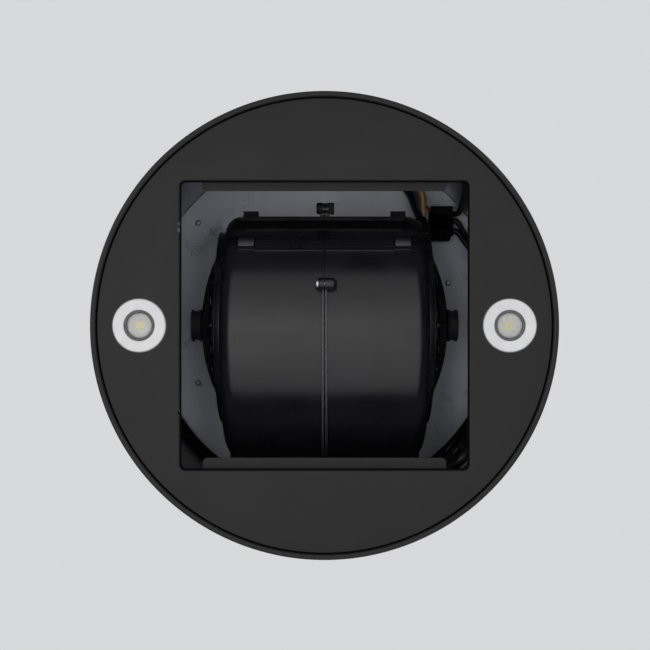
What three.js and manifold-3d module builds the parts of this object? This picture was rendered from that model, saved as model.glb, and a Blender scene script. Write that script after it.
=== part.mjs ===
// An island range hood: a round black steel shell that hangs from the ceiling, with a
// double-inlet blower inside it. It is seen here with its grease filter taken out.
// Millimetres, +Z up, the origin at the centre of the bottom rim, the switches at -Y.
import * as THREE from "three";
import { mergeVertices } from "three/addons/utils/BufferGeometryUtils.js";
import Module from "manifold-3d";

const wasm = await Module();
wasm.setup();

// ---------------------------------------------------------------- general sizes
const GAP = 0.3; // between pieces that touch
const SHEET = 1.2; // painted steel sheet
const PLATE = 1.5; // galvanised plate and rails
const FINE = 48; // sides of a large round
const MEDIUM = 24;
const SMALL = 12;
const THROUGH = 40; // how far a cutting tool reaches past what it cuts

// ---------------------------------------------------------------- shell and sleeve
const SHELL_DIAMETER = 380;
const SHELL_HEIGHT = 620;
const HEM_WIDTH = 4.5;
const HEM_HEIGHT = 8;
const HEM_ROUND = 1.1;
const SLEEVE_LENGTH = 449;
const SLEEVE_OVERLAP = 120; // of the sleeve inside the shell at rest
const SLEEVE_GAP = 2;
const CEILING_GAP = 1; // from the sleeve to the ceiling
const HEIGHT_TRAVEL = 180; // how far the hood can be pushed up on its rails

const shellRadius = SHELL_DIAMETER / 2;
const shellInner = shellRadius - SHEET;
const sleeveRadius = shellInner - SLEEVE_GAP;
const sleeveInner = sleeveRadius - SHEET;
const sleeveBottom = SHELL_HEIGHT - SLEEVE_OVERLAP;
const sleeveTop = sleeveBottom + SLEEVE_LENGTH;
const ceilingHeight = sleeveTop + CEILING_GAP;

// Slots that let filtered air back out near the top of the sleeve.
const VENT_WIDTH = 5;
const VENT_LENGTH = 60;
const VENT_PITCH = 16;
const VENT_COUNT = 7; // on each side
const VENT_DROP = 70; // from the sleeve's top to the slots' middle

// ---------------------------------------------------------------- bottom panel
const PANEL_GAP = 2.2; // ring between the hem and the panel
const PANEL_RECESS = 2; // the panel's face above the rim
const OPENING = 234; // square opening for the grease filter
const OPENING_EDGE = 10; // its turned-up edges
const LEDGE_LENGTH = 200;
const LEDGE_HEIGHT = 14; // underside of the filter ledges
const LEDGE_FRONT = 6.7; // how far each ledge reaches into the opening
const LEDGE_BACK = 8.6;

const panelRadius = shellRadius - HEM_WIDTH - PANEL_GAP;
const panelTop = PANEL_RECESS + SHEET;

// ---------------------------------------------------------------- top plate and rails
const PLATE_HEIGHT = 300; // underside of the plate that carries the blower
const PLATE_RIM = 14;
const RAIL_WIDTH = 20;
const RAIL_CLEARANCE = 9; // from the sleeve's wall to a rail's corner
const RAIL_SLIDE_GAP = 0.5;
const RAIL_SLOT_WIDTH = 6;
const RAIL_SLOT_LENGTH = 60;
const RAIL_STOP = 8; // between the upper rails and the plate with the hood pushed up
const RAIL_TOP_GAP = 30; // from the shell's top edge down to the lower rails
const CEILING_PLATE = 3;
const CEILING_RIM = 20;
const ANCHOR_SLOT_WIDTH = 8;
const ANCHOR_SLOT_LENGTH = 24;
const WIRE_HOLE_RADIUS = 9;
const wireHole = [92, -148];

const plateTop = PLATE_HEIGHT + PLATE;
const plateRadius = shellInner - 0.5;
const railCorner = (sleeveInner - RAIL_CLEARANCE) / Math.SQRT2;
const lowerRailCorner = railCorner - PLATE - RAIL_SLIDE_GAP;
const upperRailBottom = plateTop + HEIGHT_TRAVEL + RAIL_STOP;
const lowerRailTop = SHELL_HEIGHT - RAIL_TOP_GAP;

// ---------------------------------------------------------------- blower
const AXIS_HEIGHT = 160;
const IMPELLER_RADIUS = 76;
const IMPELLER_SIDE_GAP = 8; // from its ends to the housing's outer sides
const BLADE_COUNT = 18;
const BLADE_DEPTH = 11;
const BLADE_THICKNESS = 1.4;
const BLADE_LEAN = 32; // degrees
const SCROLL_WALL = 2.5;
const SCROLL_WIDTH = 180;
const SCROLL_CLEARANCE = 31; // from the impeller to the housing at the front
const SCROLL_GROWTH = 24; // of the spiral's radius in each half turn
const SCROLL_ROUND = 13; // rounding between the belly and the side walls
const SCROLL_STEPS = 24;
const THROAT_START = 22; // front wall of the air outlet, behind the axis
const THROAT_FLANGE = 9;
const INLET_RADIUS = 62;
const SIDE_DISC_WIDTH = 30; // raised disc round each inlet
const SIDE_DISC_HEIGHT = 6;
const RIB_HEIGHT = 3;
const RIB_WIDTH = 2.4;
const RIB_INSET = 10; // from the ribs' ends to the housing's sides
const SEAM_WIDTH = 6.4; // raised seam where the two halves meet
const SEAM_HEIGHT = 1.5;
const BOSS_RADIUS = 5;
const BOSS_LENGTH = 18;
const BOSS_STAND = 4.4; // of the boss's middle out of the belly
const BOSS_TURN = 73; // degrees from the front towards the belly
const GUARD_DEPTH = 15;
const GUARD_RIM = 7;
const GUARD_RIB = 3;
const GUARD_ARMS = 6;
const GUARD_HUB_RADIUS = 13;
const GUARD_RING_RADIUS = 40; // of the ring halfway out
const END_RING = 2; // thickness of the fan wheel's end rings
const BOLT_HOLE_RADIUS = 2.6; // for M5
const BOSS_SCREW_RADIUS = 1.8;
const BOSS_SCREW_HEAD = 3.8;
const BUSH_RADIUS = 15;
const BUSH_LENGTH = 10;
const AXLE_RADIUS = 4;
const ROTOR_RADIUS = 46;
const ROTOR_LENGTH = 64;
const ROTOR_WALL = 3;
const BEARING_RADIUS = 10.9;
const BEARING_CLEARANCE = 0.1;
const BEARING_WIDTH = 6;

const scrollHalf = SCROLL_WIDTH / 2;
const impellerHalf = scrollHalf - IMPELLER_SIDE_GAP;
const frontRadius = IMPELLER_RADIUS + SCROLL_CLEARANCE;
const backRadius = frontRadius + SCROLL_GROWTH;
const throatTop = PLATE_HEIGHT - AXIS_HEIGHT - GAP;
const sideFace = scrollHalf + SIDE_DISC_HEIGHT;
const guardRadius = INLET_RADIUS + GUARD_RIM;
const guardFace = sideFace + GAP + GUARD_DEPTH + GUARD_RIB;
const bushEnd = guardFace + BUSH_LENGTH;

// ---------------------------------------------------------------- air outlet
const DUCT_DIAMETER = 150;
const COLLAR_LENGTH = 55;
const OUTLET_FOOT = 8; // flange round the transition's foot
const TRANSITION_HEIGHT = 42;
const FLAP_PLACE = 27; // height of the flaps' pin in the collar
const FLAP_THICKNESS = 1;
const FLAP_CLEARANCE = 1.8;
const SEAT_WIDTH = 4;
const PIN_RADIUS = 1.5;
const KNUCKLE_WALL = 1.4;
const KNUCKLE_LENGTH = 14;

const ductRadius = DUCT_DIAMETER / 2;
const ductInner = ductRadius - SHEET;
const outletY = (THROAT_START + backRadius) / 2;
const outletBase = plateTop + GAP;

// ---------------------------------------------------------------- lamps
const LAMP_RADIUS = 21.5;
const LAMP_WINDOW = 12.5; // inner radius of the bezel's face
const LENS_RADIUS = 9.9;
const LAMP_TUBE = 18.3;
const LAMP_TUBE_WALL = 1.6;
const LAMP_TUBE_HEIGHT = 13;
const LAMP_BODY_HEIGHT = 20;
const CHIP = 6.5;

const lampX = (OPENING / 2 + panelRadius) / 2;

// ---------------------------------------------------------------- switches
const BUTTON_COUNT = 5;
const BUTTON_PITCH = 20;
const BUTTON_RADIUS = 5;
const BUTTON_PROUD = 2.2;
const BUTTON_CLEARANCE = 0.4;
const BUTTON_HEIGHT = 50;
const STEM_RADIUS = 2.5;
const BANK_DEPTH = 14;
const BANK_HEIGHT = 20;

const bankLength = BUTTON_COUNT * BUTTON_PITCH + 6;
const bankFront = shellRadius - 12;

// ---------------------------------------------------------------- control box
const BOX_WIDTH = 130;
const BOX_DEPTH = 78;
const BOX_HEIGHT = 38;
const BOX_WALL = 2;
const BOX_Y = -124;
const BOARD_THICKNESS = 1.6;
const POST_RADIUS = 3;
const POST_HEIGHT = 5;
const CAPACITOR_RADIUS = 13;
const CAPACITOR_LENGTH = 52;
const GLAND_RADIUS = 10;
const GLAND_LENGTH = 20;
const CABLE_RADIUS = 3;
const LEAD_RADIUS = 1.4;
const SLEEVING_RADIUS = 4;

// ---------------------------------------------------------------- finishes
const blackPaint = { color: 0x303030, roughness: 0.55, metalness: 0.2 };
const zincPlate = { color: 0x9a9ca0, roughness: 0.45, metalness: 0.8 };
const blackPlastic = { color: 0x151517, roughness: 0.3, metalness: 0 };
const blackRubber = { color: 0x101010, roughness: 0.8, metalness: 0 };
const whiteMetal = { color: 0xe6e6e6, roughness: 0.35, metalness: 0.3 };
const castAluminium = { color: 0xa8aaad, roughness: 0.5, metalness: 0.9 };
const steel = { color: 0xb5b7ba, roughness: 0.3, metalness: 1 };
const clearPlastic = { color: 0xf2f4f4, roughness: 0.1, metalness: 0 };
const boardWhite = { color: 0xf4f2ea, roughness: 0.5, metalness: 0 };
const boardGreen = { color: 0x1f5a35, roughness: 0.5, metalness: 0 };
const greyPlastic = { color: 0xb8b8b4, roughness: 0.5, metalness: 0 };
const copperWinding = { color: 0x8a4a22, roughness: 0.5, metalness: 0.6 };
const leadFinishes = {
  blue: { color: 0x2a6f9a, roughness: 0.5, metalness: 0 },
  brown: { color: 0x9a4a1c, roughness: 0.5, metalness: 0 },
  white: { color: 0xd8cfae, roughness: 0.5, metalness: 0 },
  earth: { color: 0xa9b03a, roughness: 0.5, metalness: 0 },
};

// ---------------------------------------------------------------- shapes
const alongX = new THREE.Vector3(1, 0, 0);
const alongY = new THREE.Vector3(0, 1, 0);
const alongZ = new THREE.Vector3(0, 0, 1);

// A closed geometry as a solid that can be joined and cut.
function solid(geometry) {
  const bare = new THREE.BufferGeometry();
  bare.setAttribute("position", geometry.getAttribute("position"));
  bare.setIndex(geometry.index);
  const merged = mergeVertices(bare, 1e-3);
  const corners = merged.index.array;
  const triangles = [];
  for (let i = 0; i < corners.length; i += 3) {
    const [a, b, c] = corners.slice(i, i + 3);
    if (a !== b && b !== c && c !== a) triangles.push(a, b, c);
  }
  const mesh = new wasm.Mesh({
    numProp: 3,
    vertProperties: merged.attributes.position.array,
    triVerts: new Uint32Array(triangles),
  });
  return new wasm.Manifold(mesh);
}

function join(first, ...others) {
  return others.reduce((whole, other) => whole.add(other), first);
}

function cut(first, ...tools) {
  return tools.reduce((whole, tool) => whole.subtract(tool), first);
}

function block([x0, x1], [y0, y1], [z0, z1]) {
  const geometry = new THREE.BoxGeometry(x1 - x0, y1 - y0, z1 - z0);
  geometry.translate((x0 + x1) / 2, (y0 + y1) / 2, (z0 + z1) / 2);
  return solid(geometry);
}

// A round bar that runs from `start` along `axis`.
function rod(axis, radius, start, length, sides = MEDIUM) {
  const geometry = new THREE.CylinderGeometry(radius, radius, length, sides);
  geometry.translate(0, length / 2, 0);
  geometry.applyQuaternion(new THREE.Quaternion().setFromUnitVectors(alongY, axis));
  geometry.translate(...start);
  return solid(geometry);
}

// A closed profile of [radius, height] points, turned round `axis`.
function turned(axis, profile, sides = MEDIUM) {
  const points = profile.map(([radius, height]) => new THREE.Vector2(radius, height));
  if (THREE.ShapeUtils.area(points) < 0) points.reverse();
  points.push(points[0].clone());
  const geometry = new THREE.LatheGeometry(points, sides);
  geometry.applyQuaternion(new THREE.Quaternion().setFromUnitVectors(alongY, axis));
  return solid(geometry);
}

// A ring with a rectangular section.
function ring(axis, inner, outer, from, to, sides = MEDIUM) {
  const profile = [
    [inner, from],
    [outer, from],
    [outer, to],
    [inner, to],
  ];
  return turned(axis, profile, sides);
}

// An outline of [y, z] points made into a slab from x0 to x1, with rounded edges if asked.
function slabAlongX(outline, x0, x1, round = 0, roundSteps = 3) {
  const shape = new THREE.Shape(outline.map(([y, z]) => new THREE.Vector2(y, z)));
  const geometry = new THREE.ExtrudeGeometry(shape, {
    depth: x1 - x0 - 2 * round,
    bevelEnabled: round > 0,
    bevelThickness: round,
    bevelSize: round,
    bevelOffset: -round,
    bevelSegments: roundSteps,
  });
  geometry.translate(0, 0, x0 + round);
  geometry.applyMatrix4(new THREE.Matrix4().makeBasis(alongY, alongZ, alongX));
  return solid(geometry);
}

// A slot with round ends, cut along `axis`; `width` across and `length` end to end along Z or X.
function slot(centre, width, length, axis, lengthAxis) {
  const half = (length - width) / 2;
  const ends = [-half, half].map((shift) => {
    const start = new THREE.Vector3(...centre).addScaledVector(lengthAxis, shift);
    start.addScaledVector(axis, -THROUGH / 2);
    return rod(axis, width / 2, start.toArray(), THROUGH, 8);
  });
  const size = new THREE.Vector3(width, width, width);
  size.addScaledVector(lengthAxis, length - 2 * width);
  size.addScaledVector(axis, THROUGH - width);
  const middle = new THREE.BoxGeometry(...size.toArray());
  middle.translate(...centre);
  return join(solid(middle), ...ends);
}

// Rings of points, one above another, skinned into a solid.
function lofted(rings) {
  const count = rings[0].length;
  const positions = rings.flat().flatMap((point) => point.toArray());
  const triangles = [];
  for (let level = 0; level < rings.length - 1; level += 1) {
    for (let i = 0; i < count; i += 1) {
      const next = (i + 1) % count;
      const [a, b] = [level * count + i, level * count + next];
      triangles.push(a, b, b + count, a, b + count, a + count);
    }
  }
  const top = (rings.length - 1) * count;
  for (let i = 1; i < count - 1; i += 1) {
    triangles.push(0, i + 1, i, top, top + i, top + i + 1);
  }
  const geometry = new THREE.BufferGeometry();
  geometry.setAttribute("position", new THREE.Float32BufferAttribute(positions, 3));
  geometry.setIndex(triangles);
  return solid(geometry);
}

// A wire or cable along a smooth curve through the given points.
function cable(points, radius, steps, sides = 8) {
  const section = [];
  for (let i = 0; i < sides; i += 1) {
    const angle = (2 * Math.PI * i) / sides;
    section.push(new THREE.Vector2(radius * Math.cos(angle), radius * Math.sin(angle)));
  }
  const path = new THREE.CatmullRomCurve3(points.map((point) => new THREE.Vector3(...point)));
  return solid(new THREE.ExtrudeGeometry(new THREE.Shape(section), { steps, extrudePath: path }));
}

function geometryOf(body) {
  const faces = body.getMesh();
  const geometry = new THREE.BufferGeometry();
  geometry.setAttribute("position", new THREE.BufferAttribute(faces.vertProperties, 3));
  geometry.setIndex(new THREE.BufferAttribute(faces.triVerts, 1));
  return geometry;
}

// A solid turned half round the upright axis.
function turnedRound(body) {
  return solid(geometryOf(body).rotateZ(Math.PI));
}

// A solid as a named piece of the hood.
function piece(name, body, finish) {
  const geometry = geometryOf(body);
  geometry.computeVertexNormals();
  const mesh = new THREE.Mesh(geometry, new THREE.MeshStandardMaterial(finish));
  mesh.name = name;
  return mesh;
}

function placed(group, x, y, z) {
  group.position.set(x, y, z);
  return group;
}

// ---------------------------------------------------------------- ceiling frame
function ceilingPlate() {
  const radius = sleeveInner - 0.5;
  const top = ceilingHeight;
  const disc = ring(alongZ, 0, radius, top - CEILING_PLATE, top, FINE);
  const rim = ring(alongZ, radius - PLATE, radius, top - CEILING_RIM, top, FINE);
  const duct = rod(alongZ, ductRadius + 5, [0, outletY, top - THROUGH], 2 * THROUGH, FINE);
  const cableHole = rod(alongZ, 12, [0, -60, top - THROUGH], 2 * THROUGH, SMALL);
  const anchors = [];
  for (const side of [-1, 1]) {
    for (const y of [-100, 20]) {
      const place = [side * railCorner, y, top];
      anchors.push(slot(place, ANCHOR_SLOT_WIDTH, ANCHOR_SLOT_LENGTH, alongZ, alongX));
    }
  }
  return cut(join(disc, rim), duct, cableHole, ...anchors);
}

// An upright angle profile whose outer corner is at (corner, corner), turned to one of
// the four quarters by the signs of x and y.
function angleRail(corner, bottom, top, signX, signY) {
  const span = (sign, from, to) => [Math.min(sign * from, sign * to), Math.max(sign * from, sign * to)];
  const inside = corner - RAIL_WIDTH;
  const legX = block(span(signX, inside, corner), span(signY, corner - PLATE, corner), [bottom, top]);
  const legY = block(span(signX, corner - PLATE, corner), span(signY, inside, corner), [bottom, top]);
  return join(legX, legY);
}

function upperRail(signX, signY) {
  const rail = angleRail(railCorner, upperRailBottom, ceilingHeight - CEILING_PLATE - GAP, signX, signY);
  const place = [signX * (railCorner - RAIL_WIDTH / 2 - 1), signY * railCorner, 0];
  place[2] = upperRailBottom + RAIL_SLOT_LENGTH / 2 + 12;
  return cut(rail, slot(place, RAIL_SLOT_WIDTH, RAIL_SLOT_LENGTH, alongY, alongZ));
}

function lowerRail(signX, signY) {
  const bottom = plateTop + GAP;
  const rail = angleRail(lowerRailCorner, bottom, lowerRailTop, signX, signY);
  const spanX = [signX * (lowerRailCorner - RAIL_WIDTH), signX * lowerRailCorner].sort((a, b) => a - b);
  const spanY = [signY * (lowerRailCorner - RAIL_WIDTH), signY * lowerRailCorner].sort((a, b) => a - b);
  const foot = block(spanX, spanY, [bottom, bottom + PLATE]);
  const boltX = signX * (railCorner - RAIL_WIDTH / 2 - 1);
  const holeStart = [boltX, signY * lowerRailCorner - THROUGH / 2, lowerRailTop - 20];
  const hole = rod(alongY, BOLT_HOLE_RADIUS, holeStart, THROUGH, 12);
  return cut(join(rail, foot), hole);
}

function upperSleeve() {
  const tube = ring(alongZ, sleeveInner, sleeveRadius, sleeveBottom, sleeveTop, FINE);
  const vents = [];
  for (const side of [-1, 1]) {
    for (let i = 0; i < VENT_COUNT; i += 1) {
      const y = (i - (VENT_COUNT - 1) / 2) * VENT_PITCH;
      const centre = [side * sleeveRadius, y, sleeveTop - VENT_DROP];
      vents.push(slot(centre, VENT_WIDTH, VENT_LENGTH, alongX, alongZ));
    }
  }
  return cut(tube, ...vents);
}

// ---------------------------------------------------------------- hood casing
// The steel is folded back on itself along the bottom edge, and the fold's edges are round.
function outerShell() {
  const hemInner = shellRadius - HEM_WIDTH;
  const profile = [
    [shellRadius - HEM_ROUND, 0],
    [shellRadius, HEM_ROUND],
    [shellRadius, SHELL_HEIGHT],
    [shellInner, SHELL_HEIGHT],
    [shellInner, HEM_HEIGHT],
    [hemInner, HEM_HEIGHT],
    [hemInner, HEM_ROUND],
    [hemInner + HEM_ROUND, 0],
  ];
  const radius = BUTTON_RADIUS + BUTTON_CLEARANCE;
  const holes = buttonPlaces().map((x) => {
    return rod(alongY, radius, [x, -shellRadius - THROUGH / 2, BUTTON_HEIGHT], THROUGH, SMALL);
  });
  return cut(turned(alongZ, profile, FINE), ...holes);
}

// A tray with a lip that rests on the shell's hem, and a square opening with turned-up edges.
function bottomPanel() {
  const lipTop = HEM_HEIGHT + GAP + SHEET;
  const disc = ring(alongZ, 0, panelRadius, PANEL_RECESS, panelTop, FINE);
  const wall = ring(alongZ, panelRadius - SHEET, panelRadius, PANEL_RECESS, lipTop, FINE);
  const lip = ring(alongZ, panelRadius - SHEET, shellInner - 0.5, lipTop - SHEET, lipTop, FINE);
  const half = OPENING / 2;
  const outer = half + SHEET;
  const edges = block([-outer, outer], [-outer, outer], [PANEL_RECESS, PANEL_RECESS + OPENING_EDGE]);
  const opening = block([-half, half], [-half, half], [-THROUGH, THROUGH]);
  const lampHoles = [-1, 1].map((side) => {
    return rod(alongZ, LAMP_TUBE + GAP, [side * lampX, 0, -THROUGH], 2 * THROUGH, MEDIUM);
  });
  return cut(join(disc, wall, lip, edges), opening, ...lampHoles);
}

// An angle strip behind one edge of the opening, which the filter is held against.
function filterLedge(side, reach) {
  const order = (a, b) => [Math.min(side * a, side * b), Math.max(side * a, side * b)];
  const behind = OPENING / 2 + SHEET + GAP;
  const span = [-LEDGE_LENGTH / 2, LEDGE_LENGTH / 2];
  const top = LEDGE_HEIGHT + SHEET;
  const leg = block(span, order(behind, behind + SHEET), [panelTop + GAP, top]);
  const shelf = block(span, order(OPENING / 2 - reach, behind + SHEET), [LEDGE_HEIGHT, top]);
  return join(leg, shelf);
}

// The galvanised plate across the shell that the blower hangs from.
function topPlate() {
  const disc = ring(alongZ, 0, plateRadius, PLATE_HEIGHT, plateTop, FINE);
  const rim = ring(alongZ, plateRadius - PLATE, plateRadius, PLATE_HEIGHT, plateTop + PLATE_RIM, FINE);
  const half = scrollHalf - SCROLL_WALL;
  const throat = [THROAT_START + SCROLL_WALL, backRadius - SCROLL_WALL];
  const air = block([-half, half], throat, [PLATE_HEIGHT - THROUGH, PLATE_HEIGHT + THROUGH]);
  const wires = rod(alongZ, WIRE_HOLE_RADIUS, [...wireHole, PLATE_HEIGHT - THROUGH], 2 * THROUGH, SMALL);
  return cut(join(disc, rim), air, wires);
}

// ---------------------------------------------------------------- blower, about its own axis
// The spiral starts behind the top, runs round by the front and the belly, and ends at the
// back, where it turns straight up into the throat. `inset` moves it inwards by a wall.
function scrollOutline(inset, height) {
  const points = [];
  for (let i = 0; i <= SCROLL_STEPS; i += 1) {
    const turn = -90 + (270 * i) / SCROLL_STEPS;
    const radius = frontRadius + (SCROLL_GROWTH * turn) / 180 - inset;
    const angle = THREE.MathUtils.degToRad(turn);
    points.push([-radius * Math.cos(angle), -radius * Math.sin(angle)]);
  }
  const startHeight = frontRadius - SCROLL_GROWTH / 2;
  points.push([backRadius - inset, height]);
  points.push([THROAT_START + inset, height]);
  points.push([THROAT_START + inset, startHeight + 10 - inset]);
  return points;
}

// A rib along the housing, some degrees down from the front towards the belly.
function scrollRib(turn, height) {
  const radius = frontRadius + (SCROLL_GROWTH * turn) / 180;
  const root = 2;
  const bar = new THREE.BoxGeometry(2 * (scrollHalf - RIB_INSET), RIB_WIDTH, height + root);
  bar.translate(0, 0, -radius - (height - root) / 2);
  bar.rotateX(-THREE.MathUtils.degToRad(90 - turn));
  return solid(bar);
}

function scrollHousing() {
  const top = throatTop + THROUGH;
  const outside = slabAlongX(scrollOutline(0, top), -scrollHalf, scrollHalf, SCROLL_ROUND);
  const innerHalf = scrollHalf - SCROLL_WALL;
  const innerRound = SCROLL_ROUND - SCROLL_WALL;
  const inside = slabAlongX(scrollOutline(SCROLL_WALL, top), -innerHalf, innerHalf, innerRound);
  const seam = slabAlongX(scrollOutline(-SEAM_HEIGHT, top), -SEAM_WIDTH / 2, SEAM_WIDTH / 2);
  const discRadius = INLET_RADIUS + SIDE_DISC_WIDTH;
  const discs = [-1, 1].map((side) => {
    const from = side > 0 ? scrollHalf - SCROLL_WALL : -sideFace;
    return rod(alongX, discRadius, [from, 0, 0], SIDE_DISC_HEIGHT + SCROLL_WALL, MEDIUM);
  });
  const inlets = rod(alongX, INLET_RADIUS, [-sideFace - 1, 0, 0], 2 * sideFace + 2, MEDIUM);
  const flange = block(
    [-scrollHalf - THROAT_FLANGE, scrollHalf + THROAT_FLANGE],
    [THROAT_START - THROAT_FLANGE, backRadius + THROAT_FLANGE],
    [throatTop - SCROLL_WALL, throatTop],
  );
  const ribs = [
    scrollRib(20, RIB_HEIGHT + 2),
    scrollRib(28, RIB_HEIGHT),
    scrollRib(55, RIB_HEIGHT),
  ];
  const above = block([-200, 200], [-200, 200], [throatTop, throatTop + 3 * THROUGH]);
  return cut(join(outside, seam, ...discs, flange, ...ribs), inlets, above, inside);
}

// The housing comes in two halves that meet in the middle; `side` picks one. Each half has
// its share of the screw boss under the belly.
function scrollHalfOf(side) {
  const far = 2 * SCROLL_WIDTH;
  const keepFrom = side > 0 ? GAP / 2 : -far;
  const keep = block([keepFrom, keepFrom + far - GAP / 2], [-far, far], [-far, far]);
  const [y, z] = bossPlace();
  const boss = rod(alongX, BOSS_RADIUS, [-BOSS_LENGTH / 2, y, z], BOSS_LENGTH, SMALL);
  const bore = rod(alongX, 2.2, [-THROUGH, y, z], 2 * THROUGH, SMALL);
  return cut(join(scrollHousing(), boss), bore).intersect(keep);
}

function bossPlace() {
  const radius = frontRadius + (SCROLL_GROWTH * BOSS_TURN) / 180 + BOSS_STAND;
  const angle = THREE.MathUtils.degToRad(BOSS_TURN);
  return [-radius * Math.cos(angle), -radius * Math.sin(angle)];
}

// The screw that draws the two halves together at the belly.
function scrollScrew() {
  const [y, z] = bossPlace();
  const end = -BOSS_LENGTH / 2;
  const head = rod(alongX, BOSS_SCREW_HEAD, [end - 2.8, y, z], 2.5, SMALL);
  const shank = rod(alongX, BOSS_SCREW_RADIUS, [end - 1, y, z], BOSS_LENGTH - 1, 12);
  return join(head, shank);
}

// Height of the guard's dome over its rim, at a radius from the axis.
function domeHeight(radius) {
  return sideFace + GAP + GUARD_DEPTH * (1 - (radius / guardRadius) ** 2);
}

// A domed grille over one inlet that also carries the motor's axle in the middle.
function inletGuard(side) {
  const from = sideFace + GAP;
  const rim = ring(alongX, INLET_RADIUS, guardRadius, from, from + GUARD_RIB, MEDIUM);
  const hub = ring(alongX, AXLE_RADIUS + 5, GUARD_HUB_RADIUS, domeHeight(GUARD_HUB_RADIUS), guardFace, SMALL);
  const middle = GUARD_RING_RADIUS;
  const height = domeHeight(middle);
  const halfway = ring(alongX, middle, middle + GUARD_RIB, height, height + GUARD_RIB, MEDIUM);
  const outline = [];
  const steps = 3;
  const inner = AXLE_RADIUS + 7;
  for (let i = 0; i <= steps; i += 1) {
    const radius = inner + ((INLET_RADIUS + 2 - inner) * i) / steps;
    outline.push(new THREE.Vector2(radius, domeHeight(radius)));
  }
  for (let i = steps; i >= 0; i -= 1) {
    outline.push(new THREE.Vector2(outline[i].x, outline[i].y + GUARD_RIB));
  }
  const arms = [];
  for (let i = 0; i < GUARD_ARMS; i += 1) {
    const shape = new THREE.Shape(outline);
    const arm = new THREE.ExtrudeGeometry(shape, { depth: GUARD_RIB, bevelEnabled: false });
    arm.translate(0, 0, -GUARD_RIB / 2);
    arm.applyMatrix4(new THREE.Matrix4().makeBasis(alongZ, alongX, alongY));
    arm.rotateX((2 * Math.PI * i) / GUARD_ARMS);
    arms.push(solid(arm));
  }
  const guard = join(rim, hub, halfway, ...arms);
  return side > 0 ? guard : turnedRound(guard);
}

// A rubber bush in the guard's hub, with a ribbed cap that stands out over the axle's end.
function hubBush(side) {
  const bore = AXLE_RADIUS + GAP;
  const start = domeHeight(GUARD_HUB_RADIUS);
  const profile = [
    [bore, start],
    [AXLE_RADIUS + 5 - GAP, start],
    [AXLE_RADIUS + 5 - GAP, guardFace + GAP],
    [BUSH_RADIUS, guardFace + GAP],
    [BUSH_RADIUS, guardFace + 2.5],
    [BUSH_RADIUS - 2, guardFace + 2.5],
    [BUSH_RADIUS - 2, bushEnd - 2.5],
    [BUSH_RADIUS, bushEnd - 2.5],
    [BUSH_RADIUS, bushEnd],
    [bore, bushEnd],
  ];
  const bush = turned(alongX, profile, SMALL);
  return side > 0 ? bush : turnedRound(bush);
}

function motorAxle() {
  const length = 2 * (bushEnd - 2);
  return rod(alongX, AXLE_RADIUS, [-length / 2, 0, 0], length, SMALL);
}

function motorStator() {
  const half = ROTOR_LENGTH / 2 - BEARING_WIDTH - 1.4;
  return ring(alongX, AXLE_RADIUS + GAP, ROTOR_RADIUS - ROTOR_WALL - 1.5, -half, half, SMALL);
}

function bearing(side) {
  const outer = ROTOR_LENGTH / 2 - 0.2;
  const inner = outer - BEARING_WIDTH;
  const [from, to] = side > 0 ? [inner, outer] : [-outer, -inner];
  return ring(alongX, AXLE_RADIUS + GAP, BEARING_RADIUS, from, to, MEDIUM);
}

// The motor's outside, which turns round the still windings.
function rotorShell() {
  const half = ROTOR_LENGTH / 2;
  const bore = BEARING_RADIUS + BEARING_CLEARANCE;
  const inner = half - BEARING_WIDTH - 0.5;
  const profile = [
    [bore, -half],
    [ROTOR_RADIUS, -half],
    [ROTOR_RADIUS, half],
    [bore, half],
    [bore, inner],
    [ROTOR_RADIUS - ROTOR_WALL, inner],
    [ROTOR_RADIUS - ROTOR_WALL, -inner],
    [bore, -inner],
  ];
  return turned(alongX, profile, MEDIUM);
}

// A double-width fan wheel: a disc in the middle, two end rings, and blades between them.
function impeller() {
  const half = impellerHalf;
  const disc = ring(alongX, ROTOR_RADIUS + GAP, IMPELLER_RADIUS, -1, 1, MEDIUM);
  const inner = IMPELLER_RADIUS - BLADE_DEPTH;
  const endRings = [-half, half - END_RING].map((from) => {
    return ring(alongX, inner, IMPELLER_RADIUS, from, from + END_RING, MEDIUM);
  });
  const blades = [];
  for (let i = 0; i < BLADE_COUNT; i += 1) {
    const blade = new THREE.BoxGeometry(2 * half - 1, BLADE_THICKNESS, BLADE_DEPTH - 2.5);
    blade.rotateX(THREE.MathUtils.degToRad(BLADE_LEAN));
    blade.translate(0, 0, IMPELLER_RADIUS - BLADE_DEPTH / 2);
    blade.rotateX((2 * Math.PI * i) / BLADE_COUNT);
    blades.push(solid(blade));
  }
  return join(disc, ...endRings, ...blades);
}

// ---------------------------------------------------------------- air outlet, above the plate
// Points round a rectangle that is as wide and deep as asked, in step with points on a circle.
function rectangleRing(halfX, halfY, height) {
  return ringAngles().map((angle) => {
    const reach = 1 / Math.max(Math.abs(Math.cos(angle)) / halfX, Math.abs(Math.sin(angle)) / halfY);
    return new THREE.Vector3(reach * Math.cos(angle), reach * Math.sin(angle), height);
  });
}

function circleRing(radius, height) {
  return ringAngles().map((angle) => {
    return new THREE.Vector3(radius * Math.cos(angle), radius * Math.sin(angle), height);
  });
}

const CORNER_SPACE = 0.12; // radians kept clear of other points on both sides of a corner

// Even steps round the outlet, with the throat's four corners in their places.
function ringAngles() {
  const corner = Math.atan2(outletHalfY, outletHalfX);
  const turns = [corner, Math.PI - corner, Math.PI + corner, 2 * Math.PI - corner];
  for (let i = 0; i < MEDIUM; i += 1) {
    const angle = (2 * Math.PI * i) / MEDIUM;
    const near = turns.slice(0, 4).some((turn) => Math.abs(turn - angle) < CORNER_SPACE);
    if (!near) turns.push(angle);
  }
  return turns.sort((a, b) => a - b);
}

const outletHalfX = scrollHalf - SCROLL_WALL;
const outletHalfY = (backRadius - THROAT_START) / 2 - SCROLL_WALL;

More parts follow.
